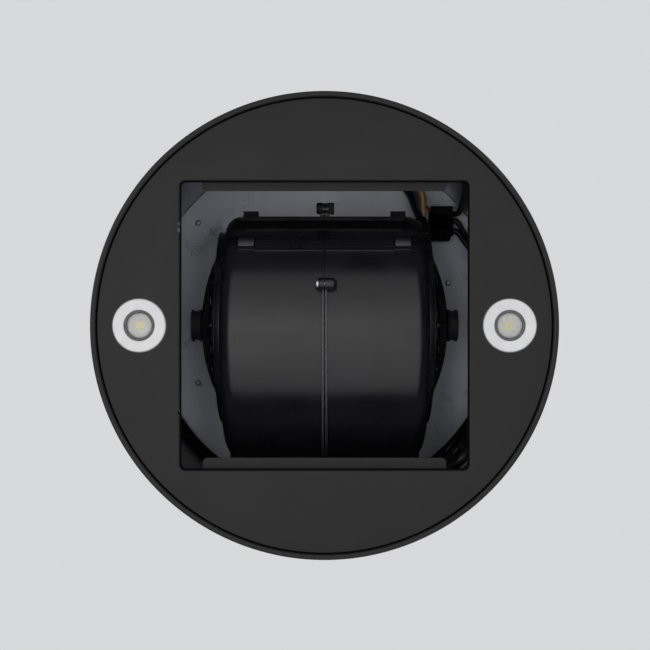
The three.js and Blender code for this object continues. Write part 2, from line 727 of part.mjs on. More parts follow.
// A square-to-round transition with a collar on it for the duct and a seat for the flaps.
function outletAdapter() {
  const top = TRANSITION_HEIGHT + COLLAR_LENGTH;
  const foot = block(
    [-outletHalfX - OUTLET_FOOT, outletHalfX + OUTLET_FOOT],
    [-outletHalfY - OUTLET_FOOT, outletHalfY + OUTLET_FOOT],
    [0, SHEET],
  );
  const outside = lofted([
    rectangleRing(outletHalfX + SHEET, outletHalfY + SHEET, 0),
    circleRing(ductRadius, TRANSITION_HEIGHT),
    circleRing(ductRadius, top),
  ]);
  const inside = lofted([
    rectangleRing(outletHalfX, outletHalfY, -1),
    circleRing(ductInner, TRANSITION_HEIGHT),
    circleRing(ductInner, top + 1),
  ]);
  const seatTop = TRANSITION_HEIGHT + FLAP_PLACE - FLAP_THICKNESS / 2 - GAP;
  const seat = ring(alongZ, ductInner - SEAT_WIDTH, ductInner + SHEET / 2, seatTop - SHEET, seatTop, MEDIUM);
  const pinHeight = TRANSITION_HEIGHT + FLAP_PLACE;
  const far = 2 * ductRadius;
  const notchHeights = [seatTop - 2, pinHeight + PIN_RADIUS];
  const notch = block([-far, far], [-PIN_RADIUS - GAP, PIN_RADIUS + GAP], notchHeights);
  const collarBore = rod(alongZ, ductInner, [0, 0, pinHeight - THROUGH / 2], THROUGH, MEDIUM);
  return join(cut(join(foot, outside), inside), cut(seat, notch.intersect(collarBore)));
}

function flapPin() {
  const length = 2 * (ductInner - GAP - 0.3);
  return rod(alongX, PIN_RADIUS, [-length / 2, 0, 0], length, 16);
}

// Half of the non-return flap, about its hinge pin; `side` is -1 for the front half.
function flap(side, knuckleX) {
  const radius = ductInner - FLAP_CLEARANCE;
  const half = FLAP_THICKNESS / 2;
  const barrel = PIN_RADIUS + GAP + KNUCKLE_WALL;
  const disc = ring(alongZ, 0, radius, -half, half, MEDIUM);
  const far = 2 * radius;
  const keep = side > 0 ? [barrel + 0.6, far] : [-far, -barrel - 0.6];
  const plate = disc.intersect(block([-far, far], keep, [-1, 1]));
  const barrels = [];
  for (const place of [-1, 1]) {
    const from = place * knuckleX - KNUCKLE_LENGTH / 2;
    const web = side > 0 ? [0, barrel + 2] : [-barrel - 2, 0];
    barrels.push(rod(alongX, barrel, [from, 0, 0], KNUCKLE_LENGTH, 16));
    barrels.push(block([from, from + KNUCKLE_LENGTH], web, [-half, half]));
  }
  const bore = rod(alongX, PIN_RADIUS + GAP, [-radius, 0, 0], 2 * radius, 16);
  return cut(join(plate, ...barrels), bore);
}

// ---------------------------------------------------------------- lamps, about their own centre
function lampBezel() {
  const face = -GAP - 1.3;
  const tubeInner = LAMP_TUBE - LAMP_TUBE_WALL;
  const profile = [
    [LAMP_WINDOW, face + 0.5],
    [LAMP_WINDOW + 0.6, face],
    [LAMP_RADIUS - 1, face],
    [LAMP_RADIUS, face + 0.7],
    [LAMP_RADIUS, -GAP],
    [LAMP_TUBE, -GAP],
    [LAMP_TUBE, LAMP_TUBE_HEIGHT],
    [tubeInner, LAMP_TUBE_HEIGHT],
    [tubeInner, 1],
    [LAMP_WINDOW, 1],
  ];
  return turned(alongZ, profile, MEDIUM);
}

// A clear disc that shows in the bezel's window, with a wider foot behind it.
function lampLens() {
  const foot = LAMP_TUBE - LAMP_TUBE_WALL - GAP;
  const profile = [
    [0, 0],
    [LENS_RADIUS, 0],
    [LENS_RADIUS, 1 + GAP],
    [foot, 1 + GAP],
    [foot, 3],
    [0, 3],
  ];
  return turned(alongZ, profile, MEDIUM);
}

function lampBoard() {
  const disc = rod(alongZ, LAMP_TUBE - LAMP_TUBE_WALL - GAP, [0, 0, 5], 1.6, SMALL);
  const chip = block([-CHIP / 2, CHIP / 2], [-CHIP / 2, CHIP / 2], [4.2, 5.1]);
  return join(disc, chip);
}

// The finned heat sink that closes the lamp's tube from above.
function lampBody() {
  const start = LAMP_TUBE_HEIGHT + GAP;
  const profile = [[0, start]];
  const fins = 3;
  const pitch = LAMP_BODY_HEIGHT / fins;
  for (let i = 0; i < fins; i += 1) {
    const foot = start + i * pitch;
    profile.push([LAMP_TUBE, foot], [LAMP_TUBE, foot + pitch / 2]);
    if (i < fins - 1) profile.push([LAMP_TUBE - 5, foot + pitch / 2], [LAMP_TUBE - 5, foot + pitch]);
  }
  profile.push([0, start + (fins - 0.5) * pitch]);
  return turned(alongZ, profile, SMALL);
}

const lampTop = panelTop + LAMP_TUBE_HEIGHT + LAMP_BODY_HEIGHT;

// ---------------------------------------------------------------- switches
function buttonPlaces() {
  const places = [];
  for (let i = 0; i < BUTTON_COUNT; i += 1) places.push((i - (BUTTON_COUNT - 1) / 2) * BUTTON_PITCH);
  return places;
}

// A round push button; its face stands the same way out of the curved shell at every place.
function button(x) {
  const front = -Math.sqrt(shellRadius ** 2 - x ** 2) - BUTTON_PROUD;
  const back = -bankFront - 4;
  const cap = rod(alongY, BUTTON_RADIUS, [0, front, 0], back - front, SMALL);
  const stem = rod(alongY, STEM_RADIUS, [0, back - 1, 0], 10, 12);
  return join(cap, stem);
}

// The row of switches behind the shell that the buttons' stems press on.
function switchBank() {
  const halfHeight = BANK_HEIGHT / 2;
  const bank = block(
    [-bankLength / 2, bankLength / 2],
    [-bankFront, -bankFront + BANK_DEPTH],
    [-halfHeight, halfHeight],
  );
  const bores = buttonPlaces().map((x) => {
    return rod(alongY, STEM_RADIUS + 0.25, [x, -bankFront - 1, 0], BANK_DEPTH - 1, 12);
  });
  return cut(bank, ...bores);
}

// ---------------------------------------------------------------- control box, on the plate
function controlBox() {
  const [x, y] = [BOX_WIDTH / 2, BOX_DEPTH / 2];
  const [innerX, innerY] = [x - BOX_WALL, y - BOX_WALL];
  const body = block([-x, x], [-y, y], [0, BOX_HEIGHT]);
  const room = block([-innerX, innerX], [-innerY, innerY], [BOX_WALL, BOX_HEIGHT + 1]);
  const posts = [];
  for (const signX of [-1, 1]) {
    for (const signY of [-1, 1]) {
      const start = [signX * (innerX - 8), signY * (innerY - 8), BOX_WALL - 0.5];
      posts.push(rod(alongZ, POST_RADIUS, start, POST_HEIGHT + 0.5, 12));
    }
  }
  const inlet = rod(alongX, GLAND_RADIUS - 3, [x - 5, 0, BOX_HEIGHT / 2], 10, SMALL);
  return cut(join(cut(body, room), ...posts), inlet);
}

function controlBoxLid() {
  const [x, y] = [BOX_WIDTH / 2, BOX_DEPTH / 2];
  return block([-x, x], [-y, y], [BOX_HEIGHT + GAP, BOX_HEIGHT + GAP + BOX_WALL]);
}

function controlBoard() {
  const [x, y] = [BOX_WIDTH / 2 - BOX_WALL - 3, BOX_DEPTH / 2 - BOX_WALL - 3];
  const bottom = BOX_WALL + POST_HEIGHT + GAP;
  const board = block([-x, x], [-y, y], [bottom, bottom + BOARD_THICKNESS]);
  const relay = block([-x + 6, -x + 26], [-y + 6, -y + 22], [bottom + 1, bottom + 17]);
  const transformer = block([x - 34, x - 6], [-y + 6, -y + 32], [bottom + 1, bottom + 22]);
  return join(board, relay, transformer);
}

function motorCapacitor() {
  const height = BOX_WALL + POST_HEIGHT + BOARD_THICKNESS + 2 * GAP + CAPACITOR_RADIUS;
  return rod(alongX, CAPACITOR_RADIUS, [-CAPACITOR_LENGTH / 2, 19, height], CAPACITOR_LENGTH, SMALL);
}

// A cable gland for the mains supply, screwed into the side of the control box.
function mainsGland() {
  const wall = BOX_WIDTH / 2;
  const bore = CABLE_RADIUS + 1.2;
  const profile = [
    [bore, wall - BOX_WALL - 3],
    [GLAND_RADIUS - 3 - GAP, wall - BOX_WALL - 3],
    [GLAND_RADIUS - 3 - GAP, wall + GAP],
    [GLAND_RADIUS, wall + GAP],
    [GLAND_RADIUS, wall + 8],
    [GLAND_RADIUS - 1.5, wall + 8],
    [GLAND_RADIUS - 3, wall + GLAND_LENGTH],
    [bore, wall + GLAND_LENGTH],
  ];
  return turned(alongX, profile, SMALL);
}

// ---------------------------------------------------------------- wiring under the plate
const sleevingMouth = [sideFace + 2.5, -106, PLATE_HEIGHT - 58];
const connector = { x: [109, 132], y: [-123, -92], z: [PLATE_HEIGHT - 26, PLATE_HEIGHT - GAP] };

function connectorBlock() {
  const body = block(connector.x, connector.y, connector.z);
  const step = block(
    [connector.x[0] + 2, connector.x[1] - 2],
    [connector.y[1] - 1, connector.y[1] + 4],
    [connector.z[0] + 4, connector.z[1] - 4],
  );
  return join(body, step);
}

// A point against the inside of the shell, at a compass angle and a height.
function byWall(degrees, height, away = 0) {
  const radius = shellInner - CABLE_RADIUS - 1.5 - away;
  const angle = THREE.MathUtils.degToRad(degrees);
  return [radius * Math.cos(angle), radius * Math.sin(angle), height];
}

// The motor's leads drop through the plate and meet at the mouth of their black sleeving.
function motorLead(index) {
  const pitch = 2 * LEAD_RADIUS + 0.8;
  const across = (index - 1.5) * pitch;
  const depth = ((index % 2) - 0.5) * pitch * Math.SQRT1_2;
  const column = (index < 2 ? -0.5 : 0.5) * pitch;
  const [x, y, z] = sleevingMouth;
  return [
    [wireHole[0] + across, wireHole[1] + depth, plateTop + 12],
    [wireHole[0] + across, wireHole[1] + depth, PLATE_HEIGHT - 6],
    [wireHole[0] + across + 6.5, wireHole[1] + 14 + depth, PLATE_HEIGHT - 26 + depth],
    [x + (across + column) / 2, y - 14 + depth, z + 17 + depth],
    [x + column, y - 3 + depth, z + 6 + depth],
  ];
}

// Black sleeving from the leads, over the rim of the inlet and down to the axle's end.
function leadSleeving() {
  const overRim = sideFace + 6;
  return [
    sleevingMouth,
    [overRim - 1, -97, PLATE_HEIGHT - 69],
    [overRim, -76, AXIS_HEIGHT + 64],
    [overRim + 1, -50, AXIS_HEIGHT + 61],
    [overRim + 5, -26, AXIS_HEIGHT + 52],
    [guardFace + 4.8, -9, AXIS_HEIGHT + 36],
    [guardFace + 5.2, 0, AXIS_HEIGHT + BUSH_RADIUS + 1],
  ];
}

// From the block down the wall at the front right, to the switches.
function switchCable() {
  return [
    [connector.x[1] + GAP, connector.y[0] + 7, connector.z[0] + 12],
    [connector.x[1] + 5, connector.y[0] + 7, connector.z[0] + 12],
    byWall(-41, PLATE_HEIGHT - 58, 3),
    byWall(-43, PLATE_HEIGHT - 110, 1),
    byWall(-47, 120, 1),
    byWall(-56, 75, 1),
    byWall(-65, 54, 4),
    [bankLength / 2 + 10, -bankFront + BANK_DEPTH / 2, BUTTON_HEIGHT],
    [bankLength / 2 + GAP, -bankFront + BANK_DEPTH / 2, BUTTON_HEIGHT],
  ];
}

// From the block across to the right wall and down to the lamp there.
function rightLampCable() {
  return [
    [connector.x[1] + GAP, connector.y[0] + 15, connector.z[0] + 12],
    [connector.x[1] + 5, connector.y[0] + 15, connector.z[0] + 12],
    [connector.x[1] + 17, connector.y[0] + 36, connector.z[0] + 4],
    byWall(-20, PLATE_HEIGHT - 60, 2),
    byWall(-11, 180, 3),
    byWall(-6, 110, 6),
    [lampX + 12, -4, lampTop + 26],
    [lampX, 0, lampTop + 6],
    [lampX, 0, lampTop - LAMP_BODY_HEIGHT / 6 + 1.5],
  ];
}

// From the block round the right and the back of the shell to the lamp on the left.
function leftLampCable() {
  return [
    [connector.x[1] + GAP, connector.y[1] - 6, connector.z[0] + 16],
    [connector.x[1] + 5, connector.y[1] - 6, connector.z[0] + 16],
    [connector.x[1] + 16, connector.y[1] + 8, connector.z[0] + 14],
    byWall(-20, PLATE_HEIGHT - 15, 8),
    byWall(-8, PLATE_HEIGHT - 20, 2),
    byWall(8, PLATE_HEIGHT - 22),
    byWall(28, PLATE_HEIGHT - 30),
    byWall(42, PLATE_HEIGHT - 62),
    byWall(50, PLATE_HEIGHT - 120),
    byWall(62, 140),
    byWall(82, 110),
    byWall(102, 92),
    byWall(122, 80, 1),
    byWall(142, 70, 2),
    byWall(158, 66, 4),
    byWall(171, 64, 10),
    [-lampX - 10, 5, lampTop + 24],
    [-lampX, 0, lampTop + 6],
    [-lampX, 0, lampTop - LAMP_BODY_HEIGHT / 6 + 1.5],
  ];
}

// ---------------------------------------------------------------- assembly
function ceilingFrame() {
  const group = new THREE.Group();
  group.add(piece("ceiling_plate", ceilingPlate(), zincPlate));
  group.add(piece("upper_sleeve", upperSleeve(), blackPaint));
  quarters().forEach(([signX, signY], i) => {
    group.add(piece(`upper_rail_${i + 1}`, upperRail(signX, signY), zincPlate));
  });
  return group;
}

function quarters() {
  return [
    [-1, -1],
    [1, -1],
    [1, 1],
    [-1, 1],
  ];
}

function casing() {
  const group = new THREE.Group();
  group.add(piece("outer_shell", outerShell(), blackPaint));
  group.add(piece("bottom_panel", bottomPanel(), blackPaint));
  group.add(piece("filter_ledge_front", filterLedge(-1, LEDGE_FRONT), blackPaint));
  group.add(piece("filter_ledge_back", filterLedge(1, LEDGE_BACK), blackPaint));
  group.add(piece("top_plate", topPlate(), zincPlate));
  quarters().forEach(([signX, signY], i) => {
    group.add(piece(`lower_rail_${i + 1}`, lowerRail(signX, signY), zincPlate));
  });
  return group;
}

function blower() {
  const group = new THREE.Group();
  for (const [side, word] of [[-1, "left"], [1, "right"]]) {
    group.add(piece(`scroll_${word}`, scrollHalfOf(side), blackPlastic));
    group.add(piece(`inlet_guard_${word}`, inletGuard(side), blackPlastic));
    group.add(piece(`hub_bush_${word}`, hubBush(side), blackRubber));
    group.add(piece(`motor_bearing_${word}`, bearing(side), steel));
  }
  group.add(piece("scroll_screw", scrollScrew(), steel));
  group.add(piece("motor_axle", motorAxle(), steel));
  group.add(piece("motor_stator", motorStator(), copperWinding));
  group.add(piece("motor_rotor", rotorShell(), castAluminium));
  group.add(piece("impeller", impeller(), blackPlastic));
  return placed(group, 0, 0, AXIS_HEIGHT);
}

function outlet() {
  const group = new THREE.Group();
  const flaps = new THREE.Group();
  group.add(piece("outlet_adapter", outletAdapter(), blackPlastic));
  flaps.add(piece("flap_pin", flapPin(), steel));
  flaps.add(piece("flap_front", flap(-1, 26), blackPlastic));
  flaps.add(piece("flap_back", flap(1, 48), blackPlastic));
  group.add(placed(flaps, 0, 0, TRANSITION_HEIGHT + FLAP_PLACE));
  return placed(group, 0, outletY, outletBase);
}

function lamp(word, x) {
  const group = new THREE.Group();
  group.add(piece(`lamp_bezel_${word}`, lampBezel(), whiteMetal));
  group.add(piece(`lamp_lens_${word}`, lampLens(), clearPlastic));
  group.add(piece(`lamp_board_${word}`, lampBoard(), boardWhite));
  group.add(piece(`lamp_heat_sink_${word}`, lampBody(), castAluminium));
  return placed(group, x, 0, PANEL_RECESS);
}

function switches() {
  const group = new THREE.Group();
  group.add(piece("switch_bank", switchBank(), greyPlastic));
  buttonPlaces().forEach((x, i) => {
    const cap = piece(`button_${i + 1}`, button(x), blackPlastic);
    cap.position.x = x;
    group.add(cap);
  });
  return placed(group, 0, 0, BUTTON_HEIGHT);
}

function controls() {
  const group = new THREE.Group();
  group.add(piece("control_box", controlBox(), greyPlastic));
  group.add(piece("control_box_lid", controlBoxLid(), greyPlastic));
  group.add(piece("control_board", controlBoard(), boardGreen));
  group.add(piece("motor_capacitor", motorCapacitor(), castAluminium));
  const gland = piece("mains_gland", mainsGland(), blackPlastic);
  gland.position.z = BOX_HEIGHT / 2;
  group.add(gland);
  return placed(group, 0, BOX_Y, plateTop + GAP);
}

function wiring() {
  const group = new THREE.Group();
  group.add(piece("connector_block", connectorBlock(), blackPlastic));
  Object.entries(leadFinishes).forEach(([word, finish], i) => {
    group.add(piece(`motor_lead_${word}`, cable(motorLead(i), LEAD_RADIUS, 10), finish));
  });
  group.add(piece("motor_lead_sleeving", cable(leadSleeving(), SLEEVING_RADIUS, 12), blackRubber));
  group.add(piece("switch_cable", cable(switchCable(), CABLE_RADIUS, 18), blackRubber));
  group.add(piece("lamp_cable_right", cable(rightLampCable(), CABLE_RADIUS, 22), blackRubber));
  group.add(piece("lamp_cable_left", cable(leftLampCable(), CABLE_RADIUS, 42), blackRubber));
  return group;
}

const rangeHood = new THREE.Group();
rangeHood.name = "island_range_hood";
rangeHood.add(ceilingFrame(), casing(), blower(), outlet());
rangeHood.add(lamp("left", -lampX), lamp("right", lampX));
rangeHood.add(switches(), controls(), wiring());

export default rangeHood;
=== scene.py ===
"""The looks of a round island range hood, hung from the ceiling, with its grease filter taken out.

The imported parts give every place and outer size. Finer pieces stand for the ones that show, and
each finish is a procedural material. Shapes are drawn in millimetres and turned to metres when
a piece is made. The switches are at -Y, the ceiling at +Z.
"""
import math

import bmesh
import bpy
from mathutils import Matrix, Vector


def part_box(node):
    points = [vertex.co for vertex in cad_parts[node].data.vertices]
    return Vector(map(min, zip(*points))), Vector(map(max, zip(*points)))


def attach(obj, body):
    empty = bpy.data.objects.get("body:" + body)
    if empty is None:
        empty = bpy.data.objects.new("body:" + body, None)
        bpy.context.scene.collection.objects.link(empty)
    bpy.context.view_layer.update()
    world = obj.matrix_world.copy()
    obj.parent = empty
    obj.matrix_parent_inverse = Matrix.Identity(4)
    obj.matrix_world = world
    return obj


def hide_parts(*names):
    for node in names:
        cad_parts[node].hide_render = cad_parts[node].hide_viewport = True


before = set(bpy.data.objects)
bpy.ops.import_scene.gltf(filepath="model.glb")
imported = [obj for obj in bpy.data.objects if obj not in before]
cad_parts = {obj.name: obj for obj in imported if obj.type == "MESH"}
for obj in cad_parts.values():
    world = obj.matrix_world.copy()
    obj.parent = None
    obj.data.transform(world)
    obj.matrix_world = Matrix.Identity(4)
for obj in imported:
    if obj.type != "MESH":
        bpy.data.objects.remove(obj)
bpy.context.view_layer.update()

MM = 0.001
HOOD = "hood_body"
CEILING = "ceiling_frame"
FAN = "fan_wheel"


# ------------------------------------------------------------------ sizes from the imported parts
def span(node):
    """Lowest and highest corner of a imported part, in millimetres."""
    low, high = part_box(node)
    return low / MM, high / MM


def middle(node):
    """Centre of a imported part's box, in millimetres."""
    low, high = span(node)
    return (low + high) / 2


SHEET = 1.2  # painted steel
HEM_WIDTH = 4.5
HEM_HEIGHT = 8
OPENING = 234
LAMP_HOLE = 18.6  # radius in the panel
LEDGE_THICKNESS = 1.2
ROUND_STEPS = 192  # sides of the shell and of other large rounds
SMOOTH_BELOW = 32  # degrees between two faces

shell_high = span("outer_shell")[1]
SHELL_RADIUS = shell_high.x
SHELL_INNER = SHELL_RADIUS - SHEET
sleeve_low, sleeve_high = span("upper_sleeve")
panel_low, panel_high = span("bottom_panel")
plate_low = span("top_plate")[0]
AXIS = middle("motor_axle")  # centre of the blower
LAMPS = {"left": middle("lamp_bezel_left"), "right": middle("lamp_bezel_right")}

SCROLL_HALF = 90  # from the blower's middle to its flat sides
SCROLL_FRONT = 107  # radius of the spiral at the front
SCROLL_GROWTH = 24  # of the radius in each half turn
SCROLL_WALL = 2.5
SCROLL_ROUND = 13
THROAT_FRONT = 22
THROAT_BACK = SCROLL_FRONT + SCROLL_GROWTH
THROAT_TOP = span("scroll_left")[1].z - AXIS.z
FRONT_RECESS = 6.5  # flattening of the belly at the front
BACK_RECESS = 7
DISC_RADIUS = 92
DISC_HEIGHT = 6
INLET_RADIUS = 62
SIDE_FACE = SCROLL_HALF + DISC_HEIGHT
BOSS_TURN = 73  # where the screw boss stands on the belly, in degrees from the front
BOSS_OUT = 4.4
SEAM_END = 179
BOLT_TURN = 20.5
BOLT_OUT = 9.8
GUARD_RADIUS = 69
GUARD_DEPTH = 15
GUARD_START = SIDE_FACE + 0.3


# ------------------------------------------------------------------ colour and node helpers
def linear(code):
    """An sRGB hex colour as linear red, green, blue and alpha."""
    parts = [int(code[i : i + 2], 16) / 255 for i in (1, 3, 5)]
    curved = [p / 12.92 if p <= 0.04045 else ((p + 0.055) / 1.055) ** 2.4 for p in parts]
    return (*curved, 1.0)


def feed(tree, node, inputs):
    """Gives a node's inputs their values or links. A node given as a value is linked from its
    first enabled output."""
    for name, value in inputs.items():
        if isinstance(value, bpy.types.Node):
            value = next(socket for socket in value.outputs if socket.enabled)
        if isinstance(value, bpy.types.NodeSocket):
            tree.links.new(value, node.inputs[name])
        else:
            node.inputs[name].default_value = value


def add(tree, kind, inputs=None, **settings):
    """Adds a node with its settings, values and links."""
    node = tree.nodes.new(kind)
    for name, value in settings.items():
        setattr(node, name, value)
    feed(tree, node, inputs or {})
    return node


def new_material(name, **sockets):
    """A material, its tree, its shader with the values given, and its object coordinates."""
    material = bpy.data.materials.new(name)
    material.use_nodes = True
    tree = material.node_tree
    shader = tree.nodes["Principled BSDF"]
    feed(tree, shader, {socket.replace("_", " "): value for socket, value in sockets.items()})
    return material, tree, shader, add(tree, "ShaderNodeTexCoord").outputs["Object"]


# ------------------------------------------------------------------ finishes
NOISE = {"From Min": 0.3, "From Max": 0.7}  # a noise seldom leaves this range


def surface(name, dark, light, cloud, grain=1.0, relief=0.0, strength=0.4, cloud_detail=3.0, grain_detail=3.0,
            roughness=None, by_grain=False, **sockets):
    """A material whose colour drifts in soft clouds over a fine raised grain. Clouds and grain
    are given by their size in mm and the relief by its full height. A roughness of two values
    drifts between them with the clouds, or with the grain."""
    material, tree, shader, where = new_material(name, **sockets)
    noise = "ShaderNodeTexNoise"
    clouds = add(tree, noise, {"Vector": where, "Scale": 1 / (cloud * MM), "Detail": cloud_detail})
    grains = add(tree, noise, {"Vector": where, "Scale": 1 / (grain * MM), "Detail": grain_detail})
    share = add(tree, "ShaderNodeMapRange", {"Value": clouds, **NOISE})
    colours = {"Factor": share, "A": linear(dark), "B": linear(light)}
    colour = add(tree, "ShaderNodeMix", colours, data_type="RGBA")
    feed(tree, shader, {"Base Color": colour})
    if roughness:
        drift = {"Value": grains if by_grain else clouds, "To Min": roughness[0], "To Max": roughness[1]}
        feed(tree, shader, {"Roughness": add(tree, "ShaderNodeMapRange", {**drift, **NOISE})})
    if relief:
        bump = add(tree, "ShaderNodeBump", {"Height": grains, "Distance": relief * MM, "Strength": strength})
        feed(tree, shader, {"Normal": bump})
    return material


def galvanised_steel():
    """Hot-dip zinc on steel: dull grey with faint crystal spangle and cloudy oxide."""
    material, tree, shader, where = new_material("galvanised_steel", Metallic=1.0)
    spangle = add(tree, "ShaderNodeTexVoronoi", {"Vector": where, "Scale": 1 / (7 * MM)})  # 7 mm crystals
    clouds = add(tree, "ShaderNodeTexNoise", {"Vector": where, "Scale": 1 / (45 * MM), "Detail": 5.0})
    grit = add(tree, "ShaderNodeTexNoise", {"Vector": where, "Scale": 1 / (1.2 * MM), "Detail": 4.0})
    faint = add(tree, "ShaderNodeMath", {0: spangle.outputs["Color"], 1: 0.35}, operation="MULTIPLY")
    mixed = add(tree, "ShaderNodeMath", {0: faint, 1: clouds}, operation="ADD")
    tone = add(tree, "ShaderNodeMath", {0: mixed, 1: grit}, operation="ADD")
    share = add(tree, "ShaderNodeMapRange", {"Value": tone, "From Min": 0.8, "From Max": 1.0})
    colours = {"Factor": share, "A": linear("#7c7d83"), "B": linear("#a8a9b0")}
    colour = add(tree, "ShaderNodeMix", colours, data_type="RGBA")
    shine = {"Value": tone, "From Min": 0.8, "From Max": 1.5, "To Min": 0.5, "To Max": 0.36}
    rough = add(tree, "ShaderNodeMapRange", shine)
    bump = add(tree, "ShaderNodeBump", {"Height": grit, "Distance": 0.03 * MM, "Strength": 0.4})
    feed(tree, shader, {"Base Color": colour, "Roughness": rough, "Normal": bump})
    return material


def turned_steel():
    """Turned and zinc-passivated steel: bright, with fine lines from the cutting tool."""
    material, tree, shader, where = new_material("turned_steel", Metallic=1.0)
    wave = add(tree, "ShaderNodeTexWave", {"Vector": where, "Scale": 1 / (1.2 * MM), "Distortion": 1.5})
    lines = wave.outputs["Fac"]
    clouds = add(tree, "ShaderNodeTexNoise", {"Vector": where, "Scale": 1 / (5 * MM), "Detail": 3.0})
    share = add(tree, "ShaderNodeMapRange", {"Value": clouds, **NOISE})
    colours = {"Factor": share, "A": linear("#8f9194"), "B": linear("#b4b6b8")}
    colour = add(tree, "ShaderNodeMix", colours, data_type="RGBA")
    rough = add(tree, "ShaderNodeMapRange", {"Value": lines, "To Min": 0.24, "To Max": 0.36, **NOISE})
    bump = add(tree, "ShaderNodeBump", {"Height": lines, "Distance": 0.01 * MM, "Strength": 0.3})
    feed(tree, shader, {"Base Color": colour, "Roughness": rough, "Normal": bump})
    return material


def green_circuit_board():
    """Green solder mask over copper tracks on glass fibre: darker lines show the tracks."""
    material, tree, shader, where = new_material("green_circuit_board", Roughness=0.35)
    greens = {"Color1": linear("#17502c"), "Color2": linear("#1d5e35"), "Mortar": linear("#0e3a1e")}
    tracks = add(tree, "ShaderNodeTexBrick", {"Vector": where, "Scale": 1 / (9 * MM), **greens})
    relief = {"Height": tracks.outputs["Fac"], "Distance": 0.04 * MM, "Strength": 0.5}
    bump = add(tree, "ShaderNodeBump", relief)
    feed(tree, shader, {"Base Color": tracks, "Normal": bump})
    return material


def varnished_copper():
    """Enamelled copper windings under varnish: bands of wire, red-brown with a soft shine."""
    material, tree, shader, where = new_material("varnished_copper", Roughness=0.35, Metallic=0.7)
    wave = add(tree, "ShaderNodeTexWave", {"Vector": where, "Scale": 1 / (4 * MM), "Distortion": 2.0})
    wires = wave.outputs["Fac"]
    share = add(tree, "ShaderNodeMapRange", {"Value": wires, "From Min": 0.1, "From Max": 0.9})
    colours = {"Factor": share, "A": linear("#5a2a12"), "B": linear("#a85c2c")}
    colour = add(tree, "ShaderNodeMix", colours, data_type="RGBA")
    bump = add(tree, "ShaderNodeBump", {"Height": wires, "Distance": 0.3 * MM, "Strength": 0.7})
    feed(tree, shader, {"Base Color": colour, "Normal": bump})
    return material


def insulation(name, dark, light):
    """Coloured PVC on a cable or lead: even colour, faintly mottled, low gloss."""
    return surface(name, dark, light, cloud=5, grain=0.6, relief=0.02, Roughness=0.42)


FINISH = {
    # polyester powder coat on steel: near black, dull, with a fine orange-peel skin
    "black_paint": surface(
        "black_powder_coat", "#161616", "#191919", cloud=60, grain=1.6, grain_detail=2.0, relief=0.05,
        strength=0.5, roughness=(0.5, 0.6), by_grain=True, Specular_IOR_Level=0.17),
    "zinc_plate": galvanised_steel(),
    # glass-filled nylon from a polished mould: black, satin, with slight flow marks
    "black_plastic": surface(
        "moulded_black_nylon", "#0c0c0f", "#111115", cloud=35, cloud_detail=2.0, grain=0.9, relief=0.02,
        strength=0.35, roughness=(0.26, 0.32), Specular_IOR_Level=0.38),
    # EPDM rubber: black and dull, with a dusty bloom
    "black_rubber": surface(
        "black_rubber", "#1c1c1f", "#2c2c30", cloud=6, grain=0.8, relief=0.04,
        Roughness=0.6, Specular_IOR_Level=0.35),
    # white baked enamel on a pressed lamp ring: smooth, with a soft gloss
    "white_bezel": surface(
        "white_enamel", "#b0b0b2", "#b9b9ba", cloud=9, grain=1.2, relief=0.01, strength=0.3,
        roughness=(0.42, 0.48), Specular_IOR_Level=0.3),
    # die-cast aluminium: pale grey and grainy, a little darker where it has oxidised
    "cast_aluminium": surface(
        "cast_aluminium", "#8e9093", "#b9bbbe", cloud=12, cloud_detail=4.0, grain=0.7, relief=0.04,
        strength=0.5, roughness=(0.56, 0.44), Metallic=1.0),
    "bright_steel": turned_steel(),
    # clear polycarbonate with a frosted back: a milky disc that lets the board show
    "clear_plastic": surface(
        "frosted_polycarbonate", "#e5e8e8", "#f2f4f3", cloud=3, grain=0.6, relief=0.02,
        roughness=(0.08, 0.16), Transmission_Weight=0.93, IOR=1.585),
    # white solder mask on an aluminium lamp board: flat white, slightly warm
    "lamp_board": surface(
        "white_solder_mask", "#dcd7d4", "#e8e3e0", cloud=4, grain=0.5, relief=0.02, strength=0.3,
        Roughness=0.45),
    "circuit_board": green_circuit_board(),
    # moulded grey ABS with a fine spark-eroded texture
    "grey_plastic": surface(
        "grey_abs", "#a9a9a5", "#b6b6b2", cloud=20, grain=0.7, grain_detail=4.0, relief=0.05,
        strength=0.6, Roughness=0.5),
    "copper_winding": varnished_copper(),
    "lead_blue": insulation("lead_blue_pvc", "#14485c", "#1c6078"),
    "lead_brown": insulation("lead_brown_pvc", "#c25112", "#dd6a1c"),
    "lead_white": insulation("lead_white_pvc", "#e0c08a", "#eed3a4"),
    "lead_earth": insulation("lead_earth_pvc", "#8e9a1e", "#b8b83a"),
}
# yellow phosphor in silicone over the light chips: pale yellow, soft and slightly grainy
PHOSPHOR = surface(
    "led_phosphor", "#f6e26a", "#fdef90", cloud=0.8, grain=0.8, relief=0.03, Roughness=0.4)
# dark grey silicone round the lens: dull and soft, with a little dust; the same grey makes the thin ring
# round the white ring, painted shade for the gap at its edge
LAMP_SEAL_AND_SHADE = surface(
    "grey_silicone", "#3a383c", "#4c4a4d", cloud=3, grain=0.6, relief=0.03, Roughness=0.55)
# the bead on the housing's seam: the same black nylon made lighter grey and duller, a painted highlight along
# the bead
SEAM_HIGHLIGHT_NYLON = surface(
    "scuffed_nylon", "#252529", "#39393e", cloud=3, grain=0.8, relief=0.03,
    Roughness=0.4, Specular_IOR_Level=0.5)
# painted shade: near-black and dull, on the inner walls of the opening's bend and on the strip in the
# housing's groove
PAINTED_SHADE_BLACK = surface(
    "black_primer", "#050507", "#08080a", cloud=8, grain=0.9, relief=0.03,
    Roughness=0.75, Specular_IOR_Level=0.08)
BLACK_SHEATH = insulation("black_pvc_sheath", "#0b0b0e", "#131317")
